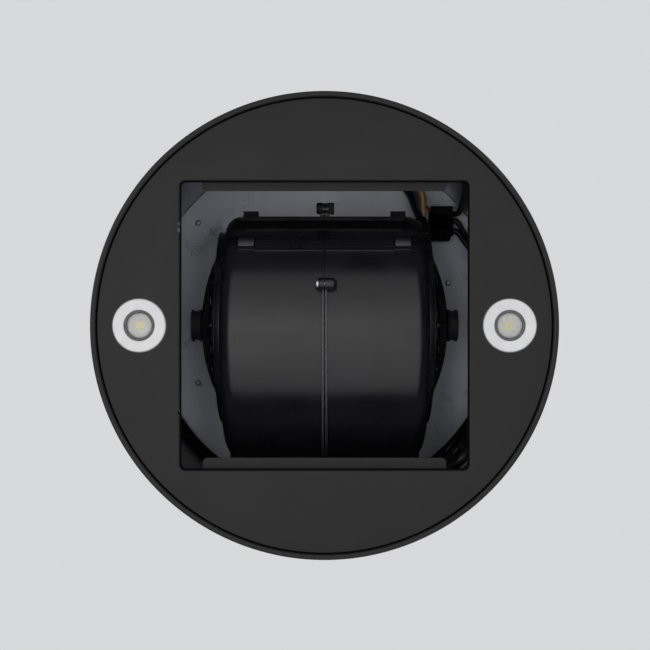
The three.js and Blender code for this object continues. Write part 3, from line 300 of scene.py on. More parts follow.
# unfilled black nylon of a plug housing: nearly without shine, so its edges melt together; the same
# near-black also lies as a strip under the plate's back edge, painted shade there
MATT_NYLON_AND_SHADE = surface(
    "matt_black_nylon", "#060608", "#0c0c10", cloud=4, grain=0.7, relief=0.03,
    Roughness=0.7, Specular_IOR_Level=0.15)


# ------------------------------------------------------------------ shape helpers, all in mm
def skin(bm, rings, wrap=False):
    """Joins rings of points, one after another, into a closed surface. `wrap` joins the last
    ring to the first; otherwise the two end rings are filled, and a ring of one point is a pole."""
    made = [[bm.verts.new(point) for point in ring] for ring in rings]
    pairs = list(zip(made, made[1:]))
    if wrap:
        pairs.append((made[-1], made[0]))
    for low, high in pairs:
        count = max(len(low), len(high))
        for i in range(count):
            j = (i + 1) % count
            corners = [low[i % len(low)], low[j % len(low)], high[j % len(high)], high[i % len(high)]]
            unique = list(dict.fromkeys(corners))
            if len(unique) > 2:
                bm.faces.new(unique)
    if not wrap:
        for end in (made[0], made[-1]):
            if len(end) > 2:
                bm.faces.new(end)


AXES = {
    "z": Matrix.Identity(3),
    "x": Matrix(((0, 0, 1), (1, 0, 0), (0, 1, 0))),
    "y": Matrix(((1, 0, 0), (0, 0, 1), (0, -1, 0))),
}


def turned(bm, profile, centre=(0, 0, 0), axis="z", steps=64):
    """Turns an outline of (radius, height) points round an axis through the centre. An outline
    that starts and ends on the axis is closed there; any other is closed on itself."""
    rings = []
    for radius, height in profile:
        around = steps if radius > 0 else 1
        ring = []
        for i in range(around):
            angle = math.tau * (i + 0.5) / steps
            point = Vector((radius * math.cos(angle), radius * math.sin(angle), height))
            ring.append(AXES[axis] @ point + Vector(centre))
        rings.append(ring)
    skin(bm, rings, wrap=profile[0][0] > 0)


def lathe(profile, centre=(0, 0, 0), axis="z", steps=64):
    """A new mesh with one turned outline in it."""
    bm = bmesh.new()
    turned(bm, profile, centre, axis, steps)
    return bm


def loft(rings, wrap=False):
    """A new mesh with one skin over rings in it."""
    bm = bmesh.new()
    skin(bm, rings, wrap)
    return bm


def bar(bm, low, high, edge=0.6, turn=None):
    """A block between two corners with rounded edges, turned by a matrix if one is given."""
    low, high = Vector(low), Vector(high)
    made = bmesh.ops.create_cube(bm, size=1.0)["verts"]
    size = high - low
    for vert in made:
        vert.co = Vector(c * s for c, s in zip(vert.co, size)) + (low + high) / 2
    edges = list({e for v in made for e in v.link_edges})
    rounded = bmesh.ops.bevel(bm, geom=edges, offset=edge, segments=2, affect="EDGES", profile=0.5)
    if turn is not None:
        verts = {v for f in rounded["faces"] for v in f.verts}
        bmesh.ops.transform(bm, matrix=turn, verts=list(verts))


def arc(centre, radius, start, end, steps):
    """Points on an arc, by angles in degrees."""
    points = []
    for i in range(steps + 1):
        angle = math.radians(start + (end - start) * i / steps)
        points.append((centre[0] + radius * math.cos(angle), centre[1] + radius * math.sin(angle)))
    return points


def rounded_rectangle(half_x, half_y, radius, steps=6):
    """An outline round the origin, as (x, y) points."""
    x, y = half_x - radius, half_y - radius
    corners = [((x, y), 0), ((-x, y), 90), ((-x, -y), 180), ((x, -y), 270)]
    return [point for centre, start in corners for point in arc(centre, radius, start, start + 90, steps)]


def prism(bm, outline, low, high, place=(0, 0)):
    """An outline of (x, y) points made into an upright solid."""
    rings = [[Vector((x + place[0], y + place[1], z)) for x, y in outline] for z in (low, high)]
    skin(bm, rings)


def smooth_path(points, per_span=10):
    """A smooth line through chosen points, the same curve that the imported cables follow."""
    points = [Vector(p) for p in points]
    ends = [2 * points[0] - points[1], *points, 2 * points[-1] - points[-2]]
    path = []
    for before, start, end, after in zip(ends, ends[1:], ends[2:], ends[3:]):
        gaps = [max((b - a).length ** 0.5, 1e-4) for a, b in ((before, start), (start, end), (end, after))]
        leave = (start - before) / gaps[0] - (end - before) / (gaps[0] + gaps[1]) + (end - start) / gaps[1]
        arrive = (end - start) / gaps[1] - (after - start) / (gaps[1] + gaps[2]) + (after - end) / gaps[2]
        leave, arrive = leave * gaps[1], arrive * gaps[1]
        for i in range(per_span):
            t = i / per_span
            point = (2 * t**3 - 3 * t**2 + 1) * start + (t**3 - 2 * t**2 + t) * leave
            path.append(point + (3 * t**2 - 2 * t**3) * end + (t**3 - t**2) * arrive)
    path.append(points[-1])
    return path


# ------------------------------------------------------------------ making pieces
def mesh_object(name, bm, material):
    """A mesh drawn in millimetres as an object in metres."""
    bmesh.ops.remove_doubles(bm, verts=bm.verts, dist=1e-4)
    bmesh.ops.recalc_face_normals(bm, faces=bm.faces)
    bmesh.ops.scale(bm, vec=(MM, MM, MM), verts=bm.verts)
    mesh = bpy.data.meshes.new(name)
    bm.to_mesh(mesh)
    bm.free()
    mesh.materials.append(material)
    made = bpy.data.objects.new(name, mesh)
    bpy.context.scene.collection.objects.link(made)
    return made


def settle(made):
    """Turns an object with modifiers into a plain mesh, and leaves no modifier on it."""
    bpy.context.view_layer.update()
    evaluated = made.evaluated_get(bpy.context.evaluated_depsgraph_get())
    mesh = bpy.data.meshes.new_from_object(evaluated)
    mesh.name = made.name
    made.modifiers.clear()
    made.data = mesh


def fit(made, body, slot, *stands_for):
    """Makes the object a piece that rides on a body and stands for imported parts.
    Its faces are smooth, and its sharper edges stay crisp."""
    made.data.shade_smooth()
    made.data.set_sharp_from_angle(angle=math.radians(SMOOTH_BELOW))
    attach(made, body)
    if stands_for:
        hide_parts(*stands_for)


def piece(name, bm, body, slot, *stands_for, material=None):
    """A piece made from a mesh, in its slot's finish unless another is given."""
    made = mesh_object(name, bm, material or FINISH[slot])
    fit(made, body, slot, *stands_for)


def cut_by(made, *tools):
    """Cuts closed shapes out of an object, and removes the shapes."""
    for tool in tools:
        modifier = made.modifiers.new("cut", "BOOLEAN")
        modifier.operation = "DIFFERENCE"
        modifier.solver = "EXACT"
        modifier.object = tool
    settle(made)
    for tool in tools:
        bpy.data.objects.remove(tool)
    return made


def cable(name, points, radius, slot, *stands_for, material=None):
    """A round cable on a smooth line in the hood body, with closed ends."""
    curve = bpy.data.curves.new(name + "_line", "CURVE")
    curve.dimensions = "3D"
    curve.bevel_depth = radius * MM
    curve.bevel_resolution = 4
    curve.use_fill_caps = True
    path = smooth_path(points)
    spline = curve.splines.new("POLY")
    spline.points.add(len(path) - 1)
    for target, point in zip(spline.points, path):
        target.co = (*(point * MM), 1.0)
    line = bpy.data.objects.new(name + "_line", curve)
    bpy.context.scene.collection.objects.link(line)
    bpy.context.view_layer.update()
    evaluated = line.evaluated_get(bpy.context.evaluated_depsgraph_get())
    mesh = bpy.data.meshes.new_from_object(evaluated)
    bpy.data.objects.remove(line)
    bm = bmesh.new()
    bm.from_mesh(mesh)
    bmesh.ops.scale(bm, vec=(1 / MM, 1 / MM, 1 / MM), verts=bm.verts)
    piece(name, bm, HOOD, slot, *stands_for, material=material)


# ------------------------------------------------------------------ geometry node trees
def node_tree(name, sockets):
    """A geometry tree with named inputs; returns the tree and its input and output nodes."""
    tree = bpy.data.node_groups.new(name, "GeometryNodeTree")
    tree.interface.new_socket("Geometry", in_out="OUTPUT", socket_type="NodeSocketGeometry")
    tree.interface.new_socket("Geometry", in_out="INPUT", socket_type="NodeSocketGeometry")
    for label, kind in sockets.items():
        tree.interface.new_socket(label, in_out="INPUT", socket_type="NodeSocket" + kind)
    return tree, add(tree, "NodeGroupInput"), add(tree, "NodeGroupOutput")


def run_tree(made, tree, values):
    """Runs a geometry tree on an object with the values given by input name."""
    modifier = made.modifiers.new(tree.name, "NODES")
    modifier.node_group = tree
    for item in tree.interface.items_tree:
        if item.item_type == "SOCKET" and item.in_out == "INPUT" and item.name in values:
            modifier[item.identifier] = values[item.name]
    settle(made)


def finish_tree(tree, start, end, geometry):
    """Ends a tree with real meshes that wear the material input."""
    real = add(tree, "GeometryNodeRealizeInstances", {"Geometry": geometry})
    wear = {"Geometry": real, "Material": start.outputs["Material"]}
    dressed = add(tree, "GeometryNodeSetMaterial", wear)
    feed(tree, end, {"Geometry": dressed})


def round_the_axis_tree():
    """Copies a shape evenly round an axis through the origin."""
    sockets = {"Shape": "Object", "Count": "Int", "Axis": "Vector", "Material": "Material"}
    tree, start, end = node_tree("round_the_axis", sockets)
    points = add(tree, "GeometryNodePoints", {"Count": start.outputs["Count"]})
    share = add(tree, "ShaderNodeMath", {0: math.tau, 1: start.outputs["Count"]}, operation="DIVIDE")
    index = add(tree, "GeometryNodeInputIndex")
    angle = add(tree, "ShaderNodeMath", {0: index, 1: share}, operation="MULTIPLY")
    turn = add(tree, "FunctionNodeAxisAngleToRotation", {"Axis": start.outputs["Axis"], "Angle": angle})
    shape = add(tree, "GeometryNodeObjectInfo", {"Object": start.outputs["Shape"]}).outputs["Geometry"]
    placed = {"Points": points, "Instance": shape, "Rotation": turn}
    copies = add(tree, "GeometryNodeInstanceOnPoints", placed)
    both = add(tree, "GeometryNodeJoinGeometry", {"Geometry": copies})
    feed(tree, both, {"Geometry": start.outputs["Geometry"]})
    finish_tree(tree, start, end, both)
    return tree


def row_of_cuts_tree():
    """Cuts a row of holes, all of one shape, out of the object."""
    sockets = {"Cutter": "Object", "Count": "Int", "First": "Vector", "Step": "Vector"}
    sockets["Material"] = "Material"
    tree, start, end = node_tree("row_of_cuts", sockets)
    count, first, step = [start.outputs[name] for name in ("Count", "First", "Step")]
    line = add(tree, "GeometryNodeMeshLine", {"Count": count, "Start Location": first, "Offset": step})
    shape = add(tree, "GeometryNodeObjectInfo", {"Object": start.outputs["Cutter"]}).outputs["Geometry"]
    copies = add(tree, "GeometryNodeInstanceOnPoints", {"Points": line, "Instance": shape})
    real = add(tree, "GeometryNodeRealizeInstances", {"Geometry": copies})
    cut = {"Mesh 1": start.outputs["Geometry"], "Mesh 2": real}
    holes = add(tree, "GeometryNodeMeshBoolean", cut, operation="DIFFERENCE")
    finish_tree(tree, start, end, holes)
    return tree


def on_points_tree():
    """Puts a fastener on every point of the object, each turned a little differently."""
    sockets = {"Shape": "Object", "Seed": "Int", "Material": "Material"}
    tree, start, end = node_tree("fasteners_on_points", sockets)
    shape = add(tree, "GeometryNodeObjectInfo", {"Object": start.outputs["Shape"]}).outputs["Geometry"]
    limits = {"Min": 0.0, "Max": math.tau, "Seed": start.outputs["Seed"]}
    angle = add(tree, "FunctionNodeRandomValue", limits, data_type="FLOAT")
    turn = add(tree, "FunctionNodeAxisAngleToRotation", {"Axis": (0, 0, 1), "Angle": angle})
    placed = {"Points": start.outputs["Geometry"], "Instance": shape, "Rotation": turn}
    copies = add(tree, "GeometryNodeInstanceOnPoints", placed)
    finish_tree(tree, start, end, copies)
    return tree


ROUND_THE_AXIS = round_the_axis_tree()
ROW_OF_CUTS = row_of_cuts_tree()
ON_POINTS = on_points_tree()


def copied_round(name, bm, shape, count, material):
    """Adds copies of a shape, drawn about the X axis, to the mesh; then moves all to the blower."""
    made = mesh_object(name, bm, material)
    tool = mesh_object(name + "_shape", shape, material)
    run_tree(made, ROUND_THE_AXIS, {"Shape": tool, "Count": count, "Axis": (1, 0, 0), "Material": material})
    bpy.data.objects.remove(tool)
    made.data.transform(Matrix.Translation(AXIS * MM))
    return made


def row_cut(made, cutter, count, first, step):
    """Cuts a row of holes in a painted piece; `first` and `step` are in millimetres."""
    paint = FINISH["black_paint"]
    tool = mesh_object("cutter", cutter, paint)
    values = {"Cutter": tool, "Count": count, "First": Vector(first) * MM, "Step": Vector(step) * MM}
    run_tree(made, ROW_OF_CUTS, {**values, "Material": paint})
    bpy.data.objects.remove(tool)


# ------------------------------------------------------------------ casing
def outer_shell():
    """The painted tube, with its lower edge folded in and the five button holes in front."""
    hem_inner = SHELL_RADIUS - HEM_WIDTH
    buttons = [middle(f"button_{i}") for i in range(1, 6)]
    below, above = buttons[0].z - 9, buttons[0].z + 9  # clear of the holes
    fold = 1.5
    hole_radius = 5.4
    profile = [
        (SHELL_RADIUS, shell_high.z - 0.4),
        (SHELL_RADIUS - 0.4, shell_high.z),
        (SHELL_INNER + 0.2, shell_high.z),
        (SHELL_INNER, shell_high.z - 0.3),
        (SHELL_INNER, above),
        (SHELL_INNER, below),
        (SHELL_INNER, HEM_HEIGHT + 0.6),
        (SHELL_INNER - 0.5, HEM_HEIGHT),
        (hem_inner + 0.4, HEM_HEIGHT),
        (hem_inner, HEM_HEIGHT - 0.4),
        *arc((hem_inner + fold, fold), fold, 180, 270, 6),
        *arc((SHELL_RADIUS - fold, fold), fold, 270, 360, 6),
        (SHELL_RADIUS, below),
        (SHELL_RADIUS, above),
    ]
    made = mesh_object("shell_with_rolled_hem", lathe(profile, steps=ROUND_STEPS), FINISH["black_paint"])
    outside, inside = -SHELL_RADIUS - 10, -SHELL_RADIUS + 20
    reach = [(0, outside), (hole_radius, outside), (hole_radius, inside), (0, inside)]
    hole = lathe(reach, axis="y", steps=40)
    step = buttons[1].x - buttons[0].x
    row_cut(made, hole, len(buttons), (buttons[0].x, 0, buttons[0].z), (step, 0, 0))
    made.data.materials.append(FINISH["zinc_plate"])
    for face in made.data.polygons:
        on_inner_wall = math.hypot(face.center.x, face.center.y) < (SHELL_INNER + 0.2) * MM
        if on_inner_wall and face.center.z > (HEM_HEIGHT + 1) * MM:
            face.material_index = 1  # bare zinc under the paint of the other side
    fit(made, HOOD, "black_paint", "outer_shell")


def bottom_panel():
    """The flat panel: a shallow tray with a square opening whose edges turn up inside."""
    face, thick = panel_low.z, panel_low.z + SHEET
    radius = SHELL_RADIUS - HEM_WIDTH - 1.2
    lip = panel_high.z
    tray = [
        (0, face),
        *arc((radius - 0.6, face + 0.6), 0.6, 270, 360, 4),
        (radius, lip - SHEET - 0.5),
        (radius + 0.4, lip - SHEET),
        (SHELL_INNER - 0.6, lip - SHEET),
        (SHELL_INNER - 0.6, lip),
        (radius - SHEET, lip),
        (radius - SHEET, thick),
        (0, thick),
    ]
    made = mesh_object("bottom_panel_pressed", lathe(tray, steps=ROUND_STEPS), FINISH["black_paint"])
    half = OPENING / 2
    flare = 2.2  # width of the bend beside the opening
    corner = 4
    hole = bmesh.new()
    prism(hole, rounded_rectangle(half + flare, half + flare, corner + flare), -20, 20)
    lamp_holes = bmesh.new()
    for place in LAMPS.values():
        prism(lamp_holes, arc((0, 0), LAMP_HOLE, 0, 352.5, 47), -20, 20, (place.x, place.y))
    cutters = [mesh_object("opening_cut", hole, FINISH["black_paint"])]
    cutters.append(mesh_object("lamp_cut", lamp_holes, FINISH["black_paint"]))
    cut_by(made, *cutters)
    section = [
        (flare, face),
        *arc((flare, face + flare), flare, 270, 180, 6),
        (0, face + 10),
        (SHEET, face + 10),
        (SHEET, face + flare),
        (flare, thick),
    ]
    rings = []
    for away, z in section:
        outline = rounded_rectangle(half + away, half + away, corner + away)
        rings.append([Vector((x, y, z)) for x, y in outline])
    frame_edge = mesh_object("opening_edge", loft(rings, wrap=True), FINISH["black_paint"])
    notches = bmesh.new()
    for y, long in ((-83, 3.4), (-77.5, 4.0), (-98, 2.6), (70, 3.4)):
        bar(notches, (-half - 1.9, y - long / 2, face - 1), (-half + 1, y + long / 2, face + 8), 0.3)
    cut_by(frame_edge, mesh_object("edge_notches", notches, FINISH["black_paint"]))
    join_into(made, frame_edge)
    made.data.materials.append(PAINTED_SHADE_BLACK)
    for face in made.data.polygons:
        across = max(abs(face.center.x), abs(face.center.y)) / MM
        if across < half + flare * 0.4 and face.center.z / MM > panel_low.z + 0.5:
            face.material_index = 1  # painted shade, inside the bend
    fit(made, HOOD, "black_paint", "bottom_panel")


def join_into(made, other):
    """Adds the other object's mesh to this one."""
    bm = bmesh.new()
    bm.from_mesh(made.data)
    bm.from_mesh(other.data)
    bm.to_mesh(made.data)
    bm.free()
    bpy.data.objects.remove(other)


def filter_ledge(word, side):
    """A folded strip behind the opening's edge, with rounded corners, that holds the filter."""
    low, high = span(f"filter_ledge_{word}")
    inner, outer = (high.y, low.y) if side < 0 else (low.y, high.y)
    shelf_low = high.z - LEDGE_THICKNESS
    radius = 4
    x = high.x
    front = inner * side
    back = outer * side
    outline = [(-x, back), (-x, front + radius)]
    outline += arc((-x + radius, front + radius), radius, 180, 270, 6)
    outline += arc((x - radius, front + radius), radius, 270, 360, 6)
    outline += [(x, back)]
    rings = []
    for inset, z in ((0.25, shelf_low), (0, shelf_low + 0.25), (0, high.z - 0.25), (0.25, high.z)):
        scale = 1 - inset / x
        moved = [(px * scale, py + (inset if py < back else 0)) for px, py in outline]
        rings.append([Vector((px, side * py, z)) for px, py in moved])
    bm = loft(rings)
    leg = sorted((side * (back - LEDGE_THICKNESS), side * back))
    bar(bm, (-x, leg[0], low.z), (x, leg[1], shelf_low + 0.1), 0.2)
    piece(f"ledge_{word}_folded", bm, HOOD, "black_paint", f"filter_ledge_{word}")


def upper_sleeve():
    """The inner tube that goes up to the ceiling, with a row of vents in each side."""
    outer, inner = sleeve_high.x, sleeve_high.x - SHEET
    width, length, pitch, count = 5, 60, 16, 7
    vents = sleeve_high.z - 70
    beside = (vents - length / 2 - 4, vents + length / 2 + 4)
    profile = [
        (outer, sleeve_low.z + 0.4),
        *[(outer, z) for z in beside],
        (outer, sleeve_high.z - 0.4),
        (outer - 0.4, sleeve_high.z),
        (inner + 0.3, sleeve_high.z),
        (inner, sleeve_high.z - 0.3),
        *[(inner, z) for z in reversed(beside)],
        (inner, sleeve_low.z + 0.3),
        (inner + 0.3, sleeve_low.z),
        (outer - 0.4, sleeve_low.z),
    ]
    made = mesh_object("sleeve_with_vents", lathe(profile, steps=ROUND_STEPS), FINISH["black_paint"])
    outline = rounded_rectangle(width / 2, length / 2, width / 2 - 0.01, 8)
    rings = [[Vector((x, y, z)) for y, z in outline] for x in (-2 * outer, 2 * outer)]
    first = (0, -(count - 1) / 2 * pitch, vents)
    row_cut(made, loft(rings), count, first, (0, pitch, 0))
    fit(made, CEILING, "black_paint", "upper_sleeve")


# ------------------------------------------------------------------ blower housing
def spiral_radius(turn):
    """Radius of the housing's spiral, at a turn in degrees from the front."""
    return SCROLL_FRONT + SCROLL_GROWTH * turn / 180


def recess(turn):
    """How far the belly's front and back are set in from the spiral, with soft changes between."""
    front = min(1.0, max(0.0, (52 - turn) / 14), max(0.0, (turn + 88) / 20))
    back = max(0.0, (turn - 120) / 60)
    return FRONT_RECESS * front * front * (3 - 2 * front) + BACK_RECESS * back * back * (3 - 2 * back)


def dip(turn):
    """Depth of the channel between the two front lips."""
    return 3.5 * max(0.0, 1 - ((turn - 43) / 5.5) ** 2)


def housing_outline(inset):
    """Points round the housing seen along its axis: the spiral, then the throat. Blower frame."""
    points = []
    steps = 180
    for i in range(steps + 1):
        turn = -90 + 270 * i / steps
        radius = spiral_radius(turn) - recess(turn) - inset - dip(turn)
        angle = math.radians(turn)
        points.append((-radius * math.cos(angle), -radius * math.sin(angle)))
    start = SCROLL_FRONT - SCROLL_GROWTH / 2
    back, front = THROAT_BACK - BACK_RECESS - inset, THROAT_FRONT + inset
    throat = [(back, THROAT_TOP * share) for share in (0.25, 0.5, 0.75, 1.0)]
    across = [(front + (back - front) * share, THROAT_TOP) for share in (0.75, 0.5, 0.25, 0.0)]
    down = [(front, THROAT_TOP - 12), (front, start + 10 - inset), (front * 0.5, start - inset + 1)]
    return points + throat + across + down


def housing_half(side):
    """One half of the blower housing: belly, rounded shoulder, raised inlet disc, bell mouth."""
    gap = 0.15
    rings = []

    def ring_at(x, inset):
        rings.append([Vector((side * x, y, z)) for y, z in housing_outline(inset)])

    def circle_at(x, radius):
        ring = []
        for y, z in housing_outline(SCROLL_ROUND):
            reach = math.hypot(y, z)
            near = min(radius, reach - 1.5) if radius > INLET_RADIUS + 12 else radius
            ring.append(Vector((side * x, y * near / reach, z * near / reach)))
        rings.append(ring)

    flat = SCROLL_HALF - SCROLL_ROUND
    for x in (gap, 20, 40, 60, flat):
        ring_at(x, 0)
    for x, inset in arc((flat, SCROLL_ROUND), SCROLL_ROUND, -90, 0, 8)[1:]:
        ring_at(x, inset)
    inner_x = SCROLL_HALF - SCROLL_WALL
    mouth = arc((INLET_RADIUS + 4, SIDE_FACE - 5), 4, 90, 180, 6)
    circles = [
        (SCROLL_HALF, DISC_RADIUS + 0.8),
        (SCROLL_HALF + 0.8, DISC_RADIUS),
        (SIDE_FACE - 1.2, DISC_RADIUS - 0.6),
        (SIDE_FACE - 0.3, DISC_RADIUS - 1),
        (SIDE_FACE, DISC_RADIUS - 2),
        (SIDE_FACE, GUARD_RADIUS + 4),
        (SIDE_FACE - 1, GUARD_RADIUS + 2),
        (SIDE_FACE - 1, INLET_RADIUS + 4),
        *[(x, radius) for radius, x in mouth],
        (inner_x - 2, INLET_RADIUS),
        (inner_x - 2, INLET_RADIUS + SCROLL_WALL),
        (inner_x, INLET_RADIUS + SCROLL_WALL + 2),
        (inner_x, DISC_RADIUS - SCROLL_WALL),
    ]
    for x, radius in circles:
        circle_at(x, radius)
    ring_at(inner_x, SCROLL_ROUND)
    inner_round = SCROLL_ROUND - SCROLL_WALL
    for x, inset in reversed(arc((flat, SCROLL_ROUND), inner_round, -90, 0, 6)):
        ring_at(x, inset)
    ring_at(gap, SCROLL_WALL)
    return loft(rings, wrap=True)


def on_belly(turn, out=0.0, lean=0.0):
    """A matrix that puts a shape drawn with +Z outwards onto the belly at that turn; a lean
    tips its face towards the floor."""
    angle = math.radians(turn)
    outward = Vector((0, -math.cos(angle), -math.sin(angle)))
    along = Vector((0, math.sin(angle), -math.cos(angle)))
    radius = spiral_radius(turn) - recess(turn) + out
    turned_axes = Matrix((Vector((1, 0, 0)), along, outward)).transposed().to_4x4()
    tip = Matrix.Rotation(math.radians(lean), 4, "X")
    return Matrix.Translation(outward * radius) @ turned_axes @ tip


def belly_bar(bm, side, x0, x1, turn, width, height, edge=0.8, root=3.0, lean=0.0):
    """A rounded bar on the belly, from x0 to x1 on one side of the seam."""
    low, high = sorted((side * x0, side * x1))
    bar(bm, (low, -width / 2, -root), (high, width / 2, height), edge, on_belly(turn, 0, lean))


def housing_details(bm, side):
    """Lips, clips, bosses and throat flange of one half of the housing."""
    reach = 72
    belly_bar(bm, side, 0.0, reach, 22.6, 1.2, 3.2, 0.5, lean=30)  # top lip
    belly_bar(bm, side, 0.0, reach - 2, 37.2, 2.2, 2.0, 0.9)  # upper edge of the channel
    belly_bar(bm, side, 0.0, reach - 12, 51.5, 9, 1.2, 0.5)  # flat band below the channel
    belly_bar(bm, side, 0.0, reach - 11, 56.4, 2.6, 3.0, 1.2)  # lower lip
    belly_bar(bm, side, reach - 13, reach + 3, 55.6, 2.4, 2.4, 1.0)  # lip under the lower clip
    belly_bar(bm, side, reach - 11, reach + 3, 51, 8, 3.4, 0.8, 4.0, lean=-26)  # lower clip
    belly_bar(bm, side, reach - 12, reach + 2, 17, 6, 5.5, 0.6, 3.0, lean=38)  # upper clip
    belly_bar(bm, side, 0.0, 4.5, 43, 11, 0.5, 0.8, 5.0)  # bridge over the channel
    boss(bm, side, BOSS_TURN, BOSS_OUT, 5.0 if side < 0 else 10.5)
    boss(bm, side, BOLT_TURN, BOLT_OUT, 6.0)
    flange_low = THROAT_TOP - 2.5
    low, high = sorted((side * 0.15, side * (SCROLL_HALF + 9)))
    bar(bm, (low, THROAT_FRONT - 9, flange_low), (high, THROAT_FRONT + 1, THROAT_TOP), 0.5)
    bar(bm, (low, THROAT_BACK - BACK_RECESS - 1, flange_low), (high, THROAT_BACK + 9, THROAT_TOP), 0.5)
    low, high = sorted((side * (SCROLL_HALF - 1), side * (SCROLL_HALF + 9)))
    bar(bm, (low, THROAT_FRONT, flange_low), (high, THROAT_BACK, THROAT_TOP), 0.5)


def seam_flash(side, word):
    """Half of the raised bead along the belly's seam, which widens towards the back."""
    rings = []
    steps = 60
    for i in range(steps + 1):
        place = on_belly(BOSS_TURN + (SEAM_END - BOSS_TURN) * i / steps)
        width = 2.2 + 0.6 * i / steps
        section = [(0.5, -1), (0.5, 1.8), (0.9, 2.3), (width - 0.5, 2.3), (width, 1.8), (width + 0.1, -1)]
        rings.append([place @ Vector((side * x, 0, z)) + AXIS for x, z in section])
    # the bead wears a lighter grey than the housing: painted highlight along the seam
    piece(f"seam_flash_{word}", loft(rings), HOOD, "black_plastic", material=SEAM_HIGHLIGHT_NYLON)


def groove_shade_strip():
    """A near-black strip behind the front lip, over the snap joint between the halves: painted shade in the
    groove.
    """
    rings = []
    steps = 12
    for i in range(steps + 1):
        place = on_belly(25.5 + 11 * i / steps)
        edge = 0.3 if i in (0, steps) else 0.9
        section = [(-78, -1), (-78, edge - 0.3), (-77.7, edge), (77.7, edge), (78, edge - 0.3), (78, -1)]
        rings.append([place @ Vector((x, 0, z)) + AXIS for x, z in section])
    piece("groove_felt_tape", loft(rings), HOOD, "black_rubber", material=PAINTED_SHADE_BLACK)


def boss(bm, side, turn, out, end):
    """Half of a round screw boss that lies across the seam; the longer half ends in a cone."""
    centre = on_belly(turn, out) @ Vector((0, 0, 0))
    start, radius = 0.2, 5.0
    cone = 3.0 if end > 8 else 0.8
    profile = [(0, start), (radius, start), (radius, end - cone), (radius - cone * 0.9, end), (0, end)]
    profile = [(r, side * h) for r, h in profile]
    turned(bm, profile, centre, "x", 28)
    belly_bar(bm, side, 0.0, end - 1.5, turn, 7, out - 1, 0.6)


def housing_screws():
    """The screw in the boss under the blower, and the bolt and square nut at the front."""
    centre = AXIS + on_belly(BOSS_TURN, BOSS_OUT) @ Vector((0, 0, 0))
    head = [(0, -7.6), (2.6, -7.6), (3.5, -7.0), (3.8, -6.2), (3.8, -5.1), (1.7, -5.1), (1.7, 6), (0, 6)]
    piece("boss_screw_turned", lathe(head, centre, "x", 32), HOOD, "bright_steel", "scroll_screw")
    centre = AXIS + on_belly(BOLT_TURN, BOLT_OUT) @ Vector((0, 0, 0))
    bolt = [(0, -7.4), (4.4, -7.4), (5.4, -6.4), (5.4, -2.4), (4.8, -1.8), (4.8, 1), (0, 1)]
    bm = lathe(bolt, centre, "x", 12)
    bar(bm, centre + Vector((3.2, -5, -5)), centre + Vector((8.8, 5, 5)), 0.6)
    piece("front_bolt_black", bm, HOOD, "black_plastic", material=MATT_NYLON_AND_SHADE)


def blower_housing():
    """Both halves, the flash along their seam, and the strip of painted shade over their joint."""
    for side, word in ((-1, "left"), (1, "right")):
        bm = housing_half(side)
        housing_details(bm, side)
        bmesh.ops.translate(bm, vec=AXIS, verts=bm.verts)
        piece(f"blower_half_{word}", bm, HOOD, "black_plastic", f"scroll_{word}")
        seam_flash(side, word)
    groove_shade_strip()


def dome(radius):
    """How far out the inlet guard stands at a radius."""
    return GUARD_START + GUARD_DEPTH * (1 - (radius / GUARD_RADIUS) ** 2)


def wire_round(bm, radius, x, thick, steps=72):
    """A round wire bent into a ring about the X axis."""
    turned(bm, [(radius + u, x + v) for u, v in arc((0, 0), thick, 0, 315, 7)], axis="x", steps=steps)


def inlet_guard(side, word):
    """A domed wire-like grille moulded in one piece, with a hub that holds the axle's bush."""
    rim = [
        (INLET_RADIUS + 0.5, GUARD_START),
        (GUARD_RADIUS, GUARD_START),
        (GUARD_RADIUS, GUARD_START + 2),
        (GUARD_RADIUS - 1.5, GUARD_START + 3.5),
        (INLET_RADIUS + 0.5, GUARD_START + 3),
    ]
    bm = lathe([(r, side * h) for r, h in rim], axis="x", steps=96)
    for radius in (22, 30, 38, 46, 54):
        wire_round(bm, radius, side * (dome(radius) + 1.5), 1.1)
    face = GUARD_START + GUARD_DEPTH + 3
    hub = [(9, dome(13) - 2), (13, dome(13) - 2), (13, face - 0.8), (12.2, face), (9, face)]
    turned(bm, [(r, side * h) for r, h in hub], axis="x", steps=48)
    rings = []
    for i in range(13):
        radius = 12.5 + (INLET_RADIUS + 2 - 12.5) * i / 12
        x = dome(radius)
        section = [(-1.1, 0.2), (1.1, 0.2), (1.1, 2.6), (0.5, 3.2), (-0.5, 3.2), (-1.1, 2.6)]
        rings.append([Vector((side * (x + v), u, radius)) for u, v in section])
    made = copied_round(f"guard_{word}_ribbed", bm, loft(rings), 12, FINISH["black_plastic"])
    fit(made, HOOD, "black_plastic", f"inlet_guard_{word}")


def hub_bush(side, word):
    """A rubber bush with a waist and shallow grip ribs, round the axle's end."""
    face = GUARD_START + GUARD_DEPTH + 3.3
    end = span("hub_bush_right")[1].x
    profile = [(4.4, dome(13) - 1), (8.6, dome(13) - 1), (8.6, face), (14.2, face), (15, face + 0.8)]
    profile += [(15, face + 1.9), (14.2, face + 2.6), (12.6, face + 2.8), (12.6, end - 2.8)]
    profile += [(14.2, end - 2.6), (15, end - 1.9), (15, end - 0.8), (14.2, end)]
    profile += [(6, end), (5, end - 1.2), (4.4, end - 1.2)]
    bm = lathe([(r, side * h) for r, h in profile], axis="x")
    rib = bmesh.new()
    low, high = sorted((side * (face + 2), side * (end - 2)))
    bar(rib, (low, -0.8, 12), (high, 0.8, 13.6), 0.3)
    made = copied_round(f"bush_{word}_ribbed", bm, rib, 18, FINISH["black_rubber"])
    fit(made, HOOD, "black_rubber", f"hub_bush_{word}")


